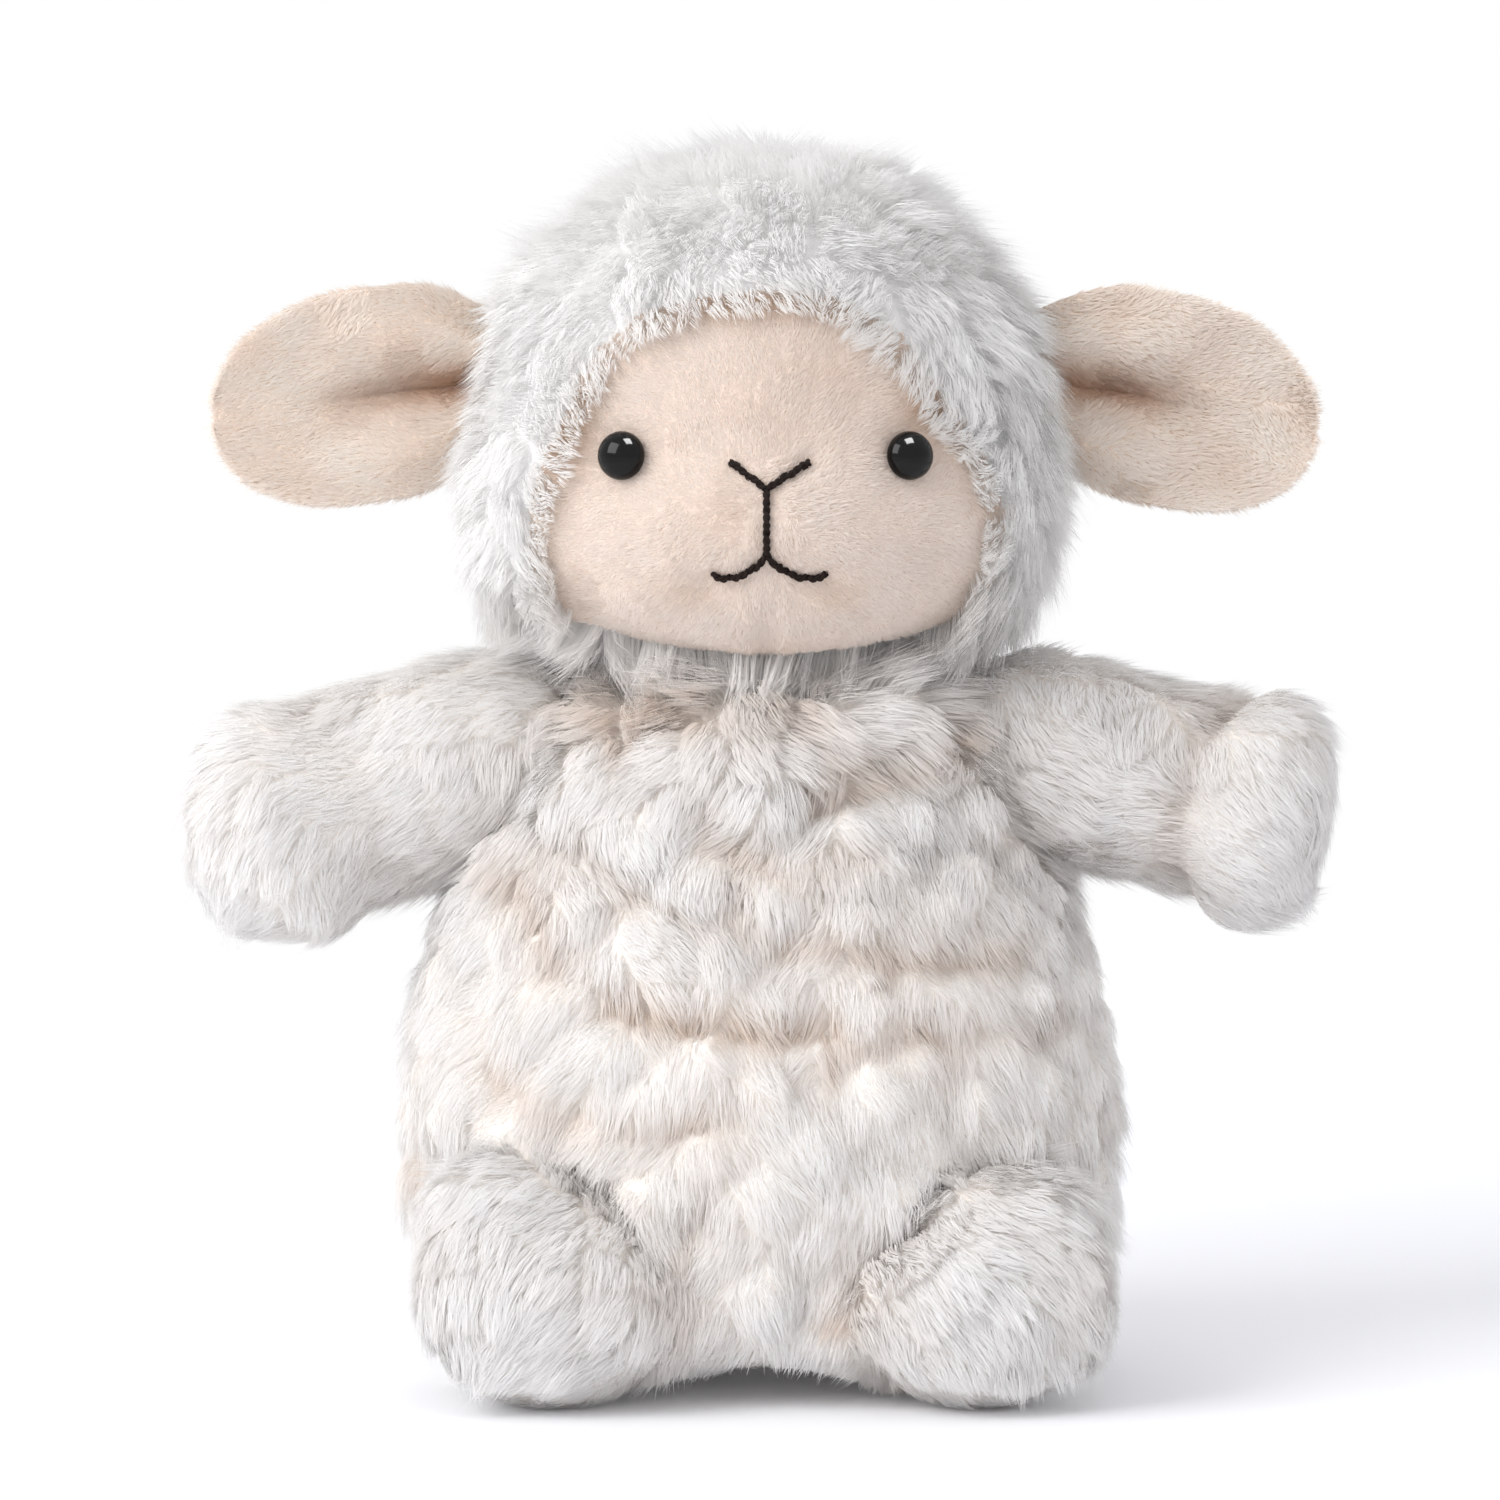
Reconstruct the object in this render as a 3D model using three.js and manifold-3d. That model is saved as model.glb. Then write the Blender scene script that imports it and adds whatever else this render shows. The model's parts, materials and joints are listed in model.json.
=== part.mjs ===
import * as THREE from 'three';
import { mergeVertices } from 'three/addons/utils/BufferGeometryUtils.js';
import Module from 'manifold-3d';

// A stuffed sheep that stands on its base and its two feet.
// Millimetres. Z is up, the toy faces -Y, and its own left side is +X.
// The pile of the cloth is left out: each cover is the woven backing that the pile grows on.

// Cloth, thread and clearances
const clothThickness = 1.6;
const seamGap = 0.3;
const layerGap = 0.3;
const ballSeatGap = 0.5;
const swingGap = 0.5;
const threadRadius = 0.7;
const cutterProud = 2;

// Torso: half width and half depth of the cover at four heights
const baseHalfWidth = 44;
const baseHalfDepth = 36;
const bellyHalfWidth = 65;
const bellyHalfDepth = 52;
const bellyHeight = 46;
const baseRoundShare = 0.62;
const baseRoundRise = 7.4;
const chestHalfWidth = 55;
const chestHalfDepth = 43;
const chestHeight = 97;
const shoulderHalfWidth = 47;
const shoulderHalfDepth = 37;
const shoulderLineHeight = 114;
const torsoHeight = 133;
const shoulderShelf = 12;
const shelfDrop = 5.7;
const baseSeamInset = 2.4;

// Swellings of the torso's tufted cloth, in staggered rows, with a plain strip at the back seam
const tuftLift = 2;
const tuftUnevenness = 0.3;
const tuftWander = 1.4;
const tuftsFrom = 12;
const tuftsBelowTop = 15;
const tuftFade = 9;
const plainStripHalfWidth = 13;

// Weighted pouch that stands on the inside of the base
const pouchHalfWidth = 33;
const pouchHalfDepth = 26;
const pouchHeight = 17;
const pouchFootShare = 0.9;
const pouchBellyRise = 6.8;
const pouchTopShare = 0.5;
const pouchTopRise = 15.6;
const pouchCloth = 1;
const pouchMouthRadius = 5;

// Neck: a firm ball of stuffing that the head turns and nods on
const neckBallRadius = 23;
const neckBallSink = 9;
const neckSeamLift = 6.5;

// Head: half width and half depth of the cover at five heights above its underside
const headLift = 16;
const headHeight = 90;
const headForward = 2;
const underHalfWidth = 28.5;
const underHalfDepth = 23;
const underRise = 0.9;
const jawHalfWidth = 46;
const jawHalfDepth = 37;
const jawRise = 7;
const cheekHalfWidth = 52.5;
const cheekHalfDepth = 43;
const cheekRise = 27;
const browHalfWidth = 47.5;
const browHalfDepth = 40;
const browRise = 61;
const crownHalfWidth = 27;
const crownHalfDepth = 25;
const crownRise = 84;
const muzzleBulge = 4.5;
const muzzleHalfWidth = 24;
const muzzleHalfHeight = 17;
const muzzleRise = 19;

// Face panel: half widths at heights above the underside of the head
const faceTopRise = 66;
const foreheadHalfWidth = 27;
const foreheadRise = 58;
const templeHalfWidth = 34;
const templeRise = 44;
const faceHalfWidth = 41;
const faceWidestRise = 24;
const chinHalfWidth = 31;
const chinRise = 5;
const faceBackPlane = 10;
const faceRoundShare = 0.6;
const faceTopRound = 2;

// Eyes: a domed head on a ribless shank, held by a washer behind the cloth
const eyeRadius = 4.5;
const eyeDome = 3.9;
const eyeSpacing = 52;
const eyeRise = 34.8;
const shankRadius = 1.6;
const shankLength = 10;
const washerRadius = 5.6;
const washerThickness = 1.4;
const washerStandOff = 1.5;

// Nose and mouth stitches, as places on the face
const noseHalfWidth = 7.3;
const noseTopRise = 33.7;
const noseCentreRise = 28.4;
const lipRise = 16.6;
const mouthHalfWidth = 10.8;
const mouthDip = 3.9;
const mouthEndDrop = 4.2;

// Ears: two cloths, creased along the middle
const earLength = 51;
const earHalfHeight = 20;
const earRootHalfHeight = 13;
const earPanelThickness = 2.1;
const earEdgeThickness = 0.9;
const earCup = 5;
const earCupRootShare = 0.35;
const earCrease = 3.4;
const earCreaseHalfShare = 0.3;
const earOpensBy = 0.35;
const earTipFrom = 0.5;
const earTipRoundness = 0.985;
const earRise = 48;
const earBehind = 2;
const earRootReach = 2;
const earSeatGap = 0.6;
const earDroop = { left: 9, right: 7 };

// Arms: radii along the arm, from the ball in the shoulder to the paw
const shoulderSpacing = 98;
const shoulderHeight = 118.5;
const armRootRadius = 18.5;
const armUpperRadius = 18.8;
const armUpperReach = 14;
const wristRadius = 17.6;
const wristReach = 29;
const pawRadius = 19.6;
const pawReach = 42;
const armLength = 57;
const armDroop = { left: 12, right: 21 };
const armLower = 6;

// Legs: short stumps with a broad foot
const hipSpacing = 74;
const hipForward = 27;
const legRootRadius = 18;
const footHalfWidth = 23.5;
const footHalfHeight = 19.4;
const footReach = 17;
const legLength = 33;
const footSplay = 11;
const soleCut = 0.5;
const soleSeamHeight = 7;
const legLift = 18;

// Tail
const tailHeight = 37;
const tailInset = 0.5;
const tailRootRadius = 6.5;
const tailRadius = 8.5;
const tailReach = 10;
const tailLength = 21;
const tailSlope = 22;
const tailWag = 20;

// Closing thread of the back seam
const closingStitches = 9;
const closingFrom = 62;
const closingPitch = 5;
const closingHalfWidth = 2.6;

// Facets: sides round each form and rings along it, with fewer for the room round a limb
const bodySides = 24;
const bodyRings = 10;
const torsoSides = 40;
const torsoRings = 18;
const neckSides = 18;
const pouchRings = 5;
const limbSides = 14;
const seatSides = 12;
const eyeSides = 16;
const eyeRings = 5;
const boreSides = 12;
const outlineSteps = 30;
const stitchStep = 2;
const limbDetail = { rings: 7, around: limbSides, ball: true };
const tailDetail = { rings: 5, around: 12, ball: true };
const roomDetail = { rings: 4, around: 10, ball: false };
const earColumns = 9;
const earRows = 8;
const threadSides = 6;

// Colours
const bodyWool = 0xf1ece6;
const hoodWool = 0xf6f6f6;
const faceBeige = 0xf0dfd0;
const fillingWhite = 0xfafafa;
const pouchLinen = 0xe9e6df;
const pelletGrey = 0xd8d8d4;
const threadCream = 0xf4f0ea;
const threadBrown = 0x2c2422;
const eyeBlack = 0x0a0a0b;
const washerWhite = 0xe8e8e4;

const wasm = await Module();
wasm.setup();

// A distance that lies outside the toy, for rays and half spaces
const outside = 500;
const sides = { left: 1, right: -1 };
const neckCentre = new THREE.Vector3(0, 0, torsoHeight - neckBallSink);
const headBase = neckCentre.z + headLift;
const hipHeight = footHalfHeight - soleCut;

// Turns an angle in degrees to radians.
function radians(degrees) {
  return THREE.MathUtils.degToRad(degrees);
}

// Makes a manifold solid of a closed three.js geometry.
function toSolid(geometry) {
  const bare = geometry.clone();
  bare.deleteAttribute('normal');
  bare.deleteAttribute('uv');
  const merged = mergeVertices(bare, 1e-4);
  const triVerts = Uint32Array.from(merged.index.array);
  const vertProperties = Float32Array.from(merged.attributes.position.array);
  return new wasm.Manifold(new wasm.Mesh({ numProp: 3, vertProperties, triVerts }));
}

// Makes a three.js geometry of a manifold solid.
function toGeometry(solid) {
  const mesh = solid.getMesh();
  const geometry = new THREE.BufferGeometry();
  geometry.setAttribute('position', new THREE.BufferAttribute(mesh.vertProperties, 3));
  geometry.setIndex(new THREE.BufferAttribute(mesh.triVerts, 1));
  geometry.computeVertexNormals();
  return geometry;
}

// A geometry from a list of points and a list of triangles, faced outwards.
function closedBody(points, triangles) {
  let volume = 0;
  for (const [a, b, c] of triangles) {
    volume += points[a].dot(points[b].clone().cross(points[c]));
  }
  const faced = volume < 0 ? triangles.map(([a, b, c]) => [a, c, b]) : triangles;
  const geometry = new THREE.BufferGeometry().setFromPoints(points);
  geometry.setIndex(faced.flat());
  geometry.computeVertexNormals();
  return geometry;
}

// A soft form: elliptic rings round +Z through the stations (half width, half depth, height),
// closed by a point at each end. shape may move each point of the finished skin, which it gets
// with its number round the ring and its ring's number. A tufted skin has its facets split so
// that every second point can stand up by itself.
function softForm(form) {
  const { stations, rings, around, start, end, shape = (point) => point, tufts = false } = form;
  const points = [];
  const triangles = [];
  const curve = new THREE.CatmullRomCurve3(stations, false, 'centripetal');
  curve.getSpacedPoints(rings - 1).forEach((section, ring) => {
    for (let k = 0; k < around; k += 1) {
      const turn = (2 * Math.PI * k) / around;
      points.push(shape(new THREE.Vector3(
        section.x * Math.cos(turn),
        section.y * Math.sin(turn),
        section.z,
      ), k, ring));
    }
  });
  const startPole = points.push(shape(new THREE.Vector3(0, 0, start))) - 1;
  const endPole = points.push(shape(new THREE.Vector3(0, 0, end))) - 1;
  for (let k = 0; k < around; k += 1) {
    const next = (k + 1) % around;
    triangles.push([startPole, next, k]);
    for (let ring = 0; ring < rings - 1; ring += 1) {
      const low = ring * around;
      const high = low + around;
      const [a, b, c, d] = [low + k, low + next, high + next, high + k];
      if (tufts && (k + ring) % 2 === 0) {
        triangles.push([a, b, d], [b, c, d]);
      } else {
        triangles.push([a, b, c], [a, c, d]);
      }
    }
    const last = (rings - 1) * around;
    triangles.push([endPole, last + k, last + next]);
  }
  return closedBody(points, triangles);
}

// The same skin moved inwards by a distance, or outwards by a negative one.
function inset(form, distance) {
  const moved = form.clone();
  moved.computeVertexNormals();
  const { position, normal } = moved.attributes;
  for (let i = 0; i < position.count; i += 1) {
    position.setXYZ(
      i,
      position.getX(i) - distance * normal.getX(i),
      position.getY(i) - distance * normal.getY(i),
      position.getZ(i) - distance * normal.getZ(i),
    );
  }
  return moved;
}

// The cloth shell of a form, as a solid.
function clothShell(form, thickness = clothThickness) {
  return toSolid(form).subtract(toSolid(inset(form, thickness)));
}

// The stuffing that fills a form inside its cloth, as a solid.
function stuffingOf(form) {
  return toSolid(inset(form, clothThickness + layerGap));
}

// A box between two corners, as a solid.
function block(low, high) {
  const size = high.clone().sub(low);
  const middle = low.clone().add(high).multiplyScalar(0.5);
  const geometry = new THREE.BoxGeometry(size.x, size.y, size.z);
  return toSolid(geometry.translate(middle.x, middle.y, middle.z));
}

// One side of a plane square to an axis, as a solid larger than the toy.
function halfSpace(axis, edge, direction) {
  const far = 2 * outside;
  const low = new THREE.Vector3(-far, -far, -far);
  const high = new THREE.Vector3(far, far, far);
  if (direction > 0) {
    low[axis] = edge;
  } else {
    high[axis] = edge;
  }
  return block(low, high);
}

// A round seat for the ball of a limb's root, and the room that its form takes when it has
// turned by each of the angles about an axis in its pivot. The form is coarse, so it is also
// grown by what its flats lose on the widest part of the limb.
function swept(form, pivot, rootRadius, axis, angles) {
  const widest = 2 * rootRadius;
  const flatLoss = widest * (1 / Math.cos(Math.PI / roomDetail.around) - 1);
  const grown = inset(form, -swingGap - flatLoss);
  let whole = toSolid(roundSeat(pivot, rootRadius + swingGap));
  for (const angle of angles) {
    const turned = grown.clone().translate(-pivot.x, -pivot.y, -pivot.z);
    turned.applyQuaternion(new THREE.Quaternion().setFromAxisAngle(axis, radians(angle)));
    turned.translate(pivot.x, pivot.y, pivot.z);
    whole = whole.add(toSolid(turned));
  }
  return whole;
}

// A faceted ball whose flats lie outside a sphere of the given radius.
function roundSeat(centre, radius) {
  const flat = Math.cos(Math.PI / seatSides) ** 2;
  const ball = new THREE.SphereGeometry(radius / flat, seatSides, seatSides / 2);
  return ball.rotateX(Math.PI / 2).translate(centre.x, centre.y, centre.z);
}

// A named mesh with a material of its own.
function part(name, shape, colour, roughness, metalness = 0) {
  const geometry = shape.isBufferGeometry ? shape : toGeometry(shape);
  const material = new THREE.MeshStandardMaterial({ color: colour, roughness, metalness });
  const mesh = new THREE.Mesh(geometry, material);
  mesh.name = name;
  return mesh;
}

// A piece of body pile cloth.
function bodyCloth(name, shape) {
  return part(name, shape, bodyWool, 0.95);
}

// A piece of white hood pile cloth.
function hoodCloth(name, shape) {
  return part(name, shape, hoodWool, 0.95);
}

// A piece of short beige pile cloth, for the face and the ears.
function faceCloth(name, shape) {
  return part(name, shape, faceBeige, 0.9);
}

// A lump of white polyester stuffing.
function stuffing(name, shape) {
  return part(name, shape, fillingWhite, 1);
}

// A thread of dark embroidery cotton.
function darkThread(name, shape) {
  return part(name, shape, threadBrown, 0.7);
}

// A thread of cream sewing cotton.
function creamThread(name, shape) {
  return part(name, shape, threadCream, 0.8);
}

// A tube of thread along a list of points.
function threadTube(points) {
  const section = new THREE.Shape();
  for (let k = 0; k < threadSides; k += 1) {
    const turn = (2 * Math.PI * k) / threadSides;
    section.lineTo(threadRadius * Math.cos(turn), threadRadius * Math.sin(turn));
  }
  const extrudePath = new THREE.CatmullRomCurve3(points);
  return new THREE.ExtrudeGeometry(section, { steps: points.length + 1, extrudePath });
}

// The place of a ray's first hit on a skin, with the normal there.
function touch(skin, from, towards) {
  const ray = new THREE.Raycaster(from, towards.clone().normalize());
  const hit = ray.intersectObject(new THREE.Mesh(skin))[0];
  return { point: hit.point, normal: hit.face.normal.clone() };
}

// Lifts every second point of the torso into a swelling and sinks the others, unevenly, except
// near its base, its top and the back seam.
function tufted(point, k, ring) {
  const fromEnd = Math.min(point.z - tuftsFrom, torsoHeight - tuftsBelowTop - point.z);
  const plain = point.y > 0 && Math.abs(point.x) < plainStripHalfWidth;
  if (fromEnd <= 0 || plain) {
    return point;
  }
  const full = Math.min(1, fromEnd / tuftFade);
  const lift = tuftLift * (1 + tuftUnevenness * Math.sin(5 * k + 3 * ring));
  const outwards = new THREE.Vector3(point.x, point.y, 0).normalize();
  point.addScaledVector(outwards, full * ((k + ring) % 2 === 0 ? lift : -lift));
  point.z += full * tuftWander * Math.sin(2 * k + 7 * ring);
  return point;
}

// Torso form: flat underneath, fullest at the belly, drawn in to the shoulders.
function torsoForm() {
  const stations = [
    new THREE.Vector3(baseHalfWidth, baseHalfDepth, 0),
    new THREE.Vector3(
      THREE.MathUtils.lerp(baseHalfWidth, bellyHalfWidth, baseRoundShare),
      THREE.MathUtils.lerp(baseHalfDepth, bellyHalfDepth, baseRoundShare),
      baseRoundRise,
    ),
    new THREE.Vector3(bellyHalfWidth, bellyHalfDepth, bellyHeight),
    new THREE.Vector3(chestHalfWidth, chestHalfDepth, chestHeight),
    new THREE.Vector3(shoulderHalfWidth, shoulderHalfDepth, shoulderLineHeight),
    new THREE.Vector3(
      neckBallRadius + shoulderShelf,
      neckBallRadius + shoulderShelf / 2,
      torsoHeight - shelfDrop,
    ),
  ];
  return softForm({
    stations,
    rings: torsoRings,
    around: torsoSides,
    start: 0,
    end: torsoHeight,
    shape: tufted,
    tufts: true,
  });
}

// Head form: broad at the cheeks, round on top, with a low bulge for the muzzle.
function headForm() {
  const muzzleHeight = headBase + muzzleRise;
  const stations = [
    new THREE.Vector3(underHalfWidth, underHalfDepth, headBase + underRise),
    new THREE.Vector3(jawHalfWidth, jawHalfDepth, headBase + jawRise),
    new THREE.Vector3(cheekHalfWidth, cheekHalfDepth, headBase + cheekRise),
    new THREE.Vector3(browHalfWidth, browHalfDepth, headBase + browRise),
    new THREE.Vector3(crownHalfWidth, crownHalfDepth, headBase + crownRise),
  ];
  const shape = (point) => {
    const across = point.x / muzzleHalfWidth;
    const up = (point.z - muzzleHeight) / muzzleHalfHeight;
    const front = point.y < 0 ? Math.exp(-across * across - up * up) : 0;
    point.y -= headForward + muzzleBulge * front;
    return point;
  };
  const end = headBase + headHeight;
  return softForm({ stations, rings: bodyRings, around: bodySides, start: headBase, end, shape });
}

// A limb form along +Z with its ball round the origin; stations are (radius, radius, reach).
// Without its ball the form starts as a blunt cone from the origin, for the room round a limb.
function limbForm(rootRadius, stations, length, { rings, around, ball }) {
  const bend = Math.SQRT1_2;
  const bluntness = 1 / 8;
  const tip = stations[stations.length - 1];
  const left = length - tip.z;
  const root = ball
    ? [
      new THREE.Vector3(rootRadius * bend, rootRadius * bend, -rootRadius * bend),
      new THREE.Vector3(rootRadius, rootRadius, 0),
    ]
    : [new THREE.Vector3(rootRadius, rootRadius, rootRadius * bluntness)];
  const end = new THREE.Vector3(tip.x * bend, tip.y * bend, tip.z + left * bend);
  const all = [...root, ...stations, end];
  const start = ball ? -rootRadius : 0;
  return softForm({ stations: all, rings, around, start, end: length });
}

const torso = torsoForm();
const head = headForm();

// Each arm as a form round its shoulder, already turned to its own droop.
function armForm(side, detail = limbDetail) {
  const form = limbForm(armRootRadius, [
    new THREE.Vector3(armUpperRadius, armUpperRadius, armUpperReach),
    new THREE.Vector3(wristRadius, wristRadius, wristReach),
    new THREE.Vector3(pawRadius, pawRadius, pawReach),
  ], armLength, detail);
  return form.rotateY(sides[side] * radians(90 + armDroop[side]));
}

function shoulderPivot(side) {
  return new THREE.Vector3((sides[side] * shoulderSpacing) / 2, 0, shoulderHeight);
}

// Each leg as a form round its hip, splayed outwards, with a sole cut flat on the ground.
function legForm(side, detail = limbDetail) {
  const form = limbForm(legRootRadius, [
    new THREE.Vector3(footHalfWidth, footHalfHeight, footReach),
  ], legLength, detail);
  return form.rotateX(Math.PI / 2).rotateZ(sides[side] * radians(footSplay));
}

function hipPivot(side) {
  return new THREE.Vector3((sides[side] * hipSpacing) / 2, -hipForward, hipHeight);
}

// The tail as a form round its root, pointing back and down.
function tailForm(detail = tailDetail) {
  const form = limbForm(tailRootRadius, [
    new THREE.Vector3(tailRadius, tailRadius, tailReach),
  ], tailLength, detail);
  return form.rotateX(-radians(90 + tailSlope));
}

function tailPivot() {
  const behind = new THREE.Vector3(0, outside, tailHeight);
  const { point } = touch(torso, behind, new THREE.Vector3(0, -1, 0));
  return new THREE.Vector3(0, point.y - tailInset, tailHeight);
}

// Room that the torso leaves for the neck ball, for the arms at their lowest, for the legs
// from the ground to their highest, and for the tail from side to side.
function torsoRoom() {
  const along = new THREE.Vector3(0, 1, 0);
  const across = new THREE.Vector3(1, 0, 0);
  const upright = new THREE.Vector3(0, 0, 1);
  let room = toSolid(neckSeat());
  for (const side of Object.keys(sides)) {
    const shoulder = shoulderPivot(side);
    const arm = armForm(side, roomDetail).translate(shoulder.x, shoulder.y, shoulder.z);
    room = room.add(swept(arm, shoulder, armRootRadius, along, [sides[side] * armLower]));
    const hip = hipPivot(side);
    const leg = legForm(side, roomDetail).translate(hip.x, hip.y, hip.z);
    room = room.add(swept(leg, hip, legRootRadius, across, [-legLift, -legLift / 2, 0]));
  }
  const root = tailPivot();
  const tail = tailForm(roomDetail).translate(root.x, root.y, root.z);
  return room.add(swept(tail, root, tailRootRadius, upright, [-tailWag, 0, tailWag]));
}

// The hollow that the neck ball turns in.
function neckSeat() {
  return neckBall(neckBallRadius + ballSeatGap);
}

function neckBall(radius) {
  const ball = new THREE.SphereGeometry(radius, neckSides, neckSides / 2);
  return ball.rotateX(Math.PI / 2).translate(neckCentre.x, neckCentre.y, neckCentre.z);
}

// An upright elliptic disc that cuts the base panel out of the torso cover.
function baseCutter(grow) {
  const outline = new THREE.Shape();
  const halfWidth = baseHalfWidth - baseSeamInset + grow;
  const halfDepth = baseHalfDepth - baseSeamInset + grow;
  outline.absellipse(0, 0, halfWidth, halfDepth, 0, 2 * Math.PI);
  const options = { depth: 2 * clothThickness, bevelEnabled: false, curveSegments: bodySides };
  const disc = new THREE.ExtrudeGeometry(outline, options);
  return toSolid(disc.translate(0, 0, -clothThickness / 2));
}

// Torso cover: a front panel, two back panels that meet at the closing seam, and a base.
function torsoCover(room) {
  const shell = clothShell(torso);
  const walls = shell.subtract(baseCutter(seamGap)).subtract(room);
  const back = walls.intersect(halfSpace('y', seamGap / 2, 1));
  return [
    bodyCloth('torso_front_panel', walls.intersect(halfSpace('y', -seamGap / 2, -1))),
    bodyCloth('torso_back_left_panel', back.intersect(halfSpace('x', seamGap / 2, 1))),
    bodyCloth('torso_back_right_panel', back.intersect(halfSpace('x', -seamGap / 2, -1))),
    bodyCloth('torso_base_panel', shell.intersect(baseCutter(0)).subtract(room)),
  ];
}

// Weighted pouch: a flat-bottomed bag with a tied mouth, and the pellets that fill it.
function pouchForm() {
  const floor = clothThickness + layerGap;
  const stations = [
    new THREE.Vector3(pouchHalfWidth * pouchFootShare, pouchHalfDepth * pouchFootShare, floor),
    new THREE.Vector3(pouchHalfWidth, pouchHalfDepth, floor + pouchBellyRise),
    new THREE.Vector3(
      pouchHalfWidth * pouchTopShare,
      pouchHalfDepth * pouchTopShare,
      floor + pouchTopRise,
    ),
  ];
  const end = floor + pouchHeight;
  return softForm({ stations, rings: pouchRings, around: limbSides, start: floor, end });
}

function torsoFilling(room) {
  const pouch = pouchForm();
  const mouthLow = new THREE.Vector3(-pouchMouthRadius, -pouchMouthRadius, pouchHeight / 2);
  const mouthHigh = new THREE.Vector3(pouchMouthRadius, pouchMouthRadius, 2 * pouchHeight);
  const bag = clothShell(pouch, pouchCloth).subtract(block(mouthLow, mouthHigh));
  const pellets = toSolid(inset(pouch, pouchCloth + layerGap));
  const pocket = toSolid(inset(pouch, -layerGap));
  const filling = stuffingOf(torso).subtract(room).subtract(pocket);
  return [
    stuffing('torso_stuffing', filling),
    part('pellet_pouch', bag, pouchLinen, 0.9),
    part('pellet_filling', pellets, pelletGrey, 0.5),
  ];
}

// Closing thread: it crosses the back seam from side to side, where the toy was stuffed.
function closingThread() {
  const points = [];
  for (let i = 0; i < closingStitches; i += 1) {
    const across = i % 2 === 0 ? -closingHalfWidth : closingHalfWidth;
    const from = new THREE.Vector3(across, outside, closingFrom + i * closingPitch);
    const { point, normal } = touch(torso, from, new THREE.Vector3(0, -1, 0));
    points.push(point.addScaledVector(normal, layerGap + threadRadius));
  }
  return creamThread('closing_thread', threadTube(points));
}

// Neck: the ball of firm stuffing and the thread that gathers its cloth.
function neck() {
  const ringRadius = Math.sqrt(neckBallRadius ** 2 - neckSeamLift ** 2) + threadRadius + layerGap;
  const ring = new THREE.TorusGeometry(ringRadius, threadRadius, threadSides, bodySides);
  const thread = creamThread('neck_seam_thread', ring);
  thread.position.set(neckCentre.x, neckCentre.y, neckCentre.z + neckSeamLift);
  return [stuffing('neck_stuffing', neckBall(neckBallRadius)), thread];
}

// Outline of the face panel in X and Z, grown by a distance, pushed through the head along Y.
function faceCutter(grow) {
  const half = [
    [0, faceTopRise],
    [foreheadHalfWidth * faceRoundShare, faceTopRise - faceTopRound],
    [foreheadHalfWidth, foreheadRise],
    [templeHalfWidth, templeRise],
    [faceHalfWidth, faceWidestRise],
    [chinHalfWidth, chinRise],
    [chinHalfWidth * faceRoundShare, -jawRise],
  ];
  const mirrored = half.slice(1).reverse().map(([x, rise]) => [-x, rise]);
  const centre = new THREE.Vector2(0, faceWidestRise);
  const points = [...half, ...mirrored].map(([x, rise]) => {
    const point = new THREE.Vector2(x, rise);
    const outwards = point.clone().sub(centre).normalize();
    return point.addScaledVector(outwards, grow).add(new THREE.Vector2(0, headBase));
  });
  const rim = new THREE.SplineCurve([...points, points[0]]).getPoints(outlineSteps);
  const outline = new THREE.Shape(rim);
  const options = { depth: 2 * cheekHalfDepth, bevelEnabled: false };
  const prism = new THREE.ExtrudeGeometry(outline, options).rotateX(Math.PI / 2);
  return toSolid(prism.translate(0, -faceBackPlane + grow, 0));
}

// Where a point of the face, given across and above the underside of the head, lies on the cloth.
function onFace(across, rise) {
  const from = new THREE.Vector3(across, -outside, headBase + rise);
  return touch(head, from, new THREE.Vector3(0, 1, 0));
}

// A group that stands on the face with its +Z along the outward normal.
function faceSeat(across, rise) {
  const { point, normal } = onFace(across, rise);
  const seat = new THREE.Group();
  seat.position.copy(point);
  seat.quaternion.setFromUnitVectors(new THREE.Vector3(0, 0, 1), normal);
  seat.updateMatrix();
  return seat;
}

// A lathe body round +Z from a list of (radius, height) pairs.
function turned(pairs, segments) {
  const profile = pairs.map(([radius, height]) => new THREE.Vector2(radius, height));
  const geometry = new THREE.LatheGeometry(profile, segments).rotateX(Math.PI / 2);
  geometry.deleteAttribute('normal');
  geometry.deleteAttribute('uv');
  const merged = mergeVertices(geometry, 1e-4);
  const corners = merged.index.array;
  const points = [];
  const triangles = [];
  for (let i = 0; i < merged.attributes.position.count; i += 1) {
    points.push(new THREE.Vector3().fromBufferAttribute(merged.attributes.position, i));
  }
  for (let i = 0; i < corners.length; i += 3) {
    const [a, b, c] = corners.slice(i, i + 3);
    if (a !== b && b !== c && c !== a) {
      triangles.push([a, b, c]);
    }
  }
  return closedBody(points, triangles);
}

// Height of the eye's flat back and of the washer's front face over the cloth's outer face.
const eyeBack = layerGap;
const washerFront = -clothThickness - washerStandOff;

function eyeBody() {
  const dome = [];
  for (let i = 0; i <= eyeRings; i += 1) {
    const turn = (Math.PI / 2) * (i / eyeRings);
    dome.push([eyeRadius * Math.cos(turn), eyeBack + eyeDome * Math.sin(turn)]);
  }
  dome[dome.length - 1][0] = 0;
  const shank = [[0, -shankLength], [shankRadius, -shankLength], [shankRadius, eyeBack]];
  return turned([...shank, ...dome], eyeSides);
}

function washerBody() {
  const bore = shankRadius + layerGap;
  const back = washerFront - washerThickness;
  const rim = [[washerRadius, back], [washerRadius, washerFront]];
  return turned([[bore, back], ...rim, [bore, washerFront], [bore, back]], eyeSides);
}

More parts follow.
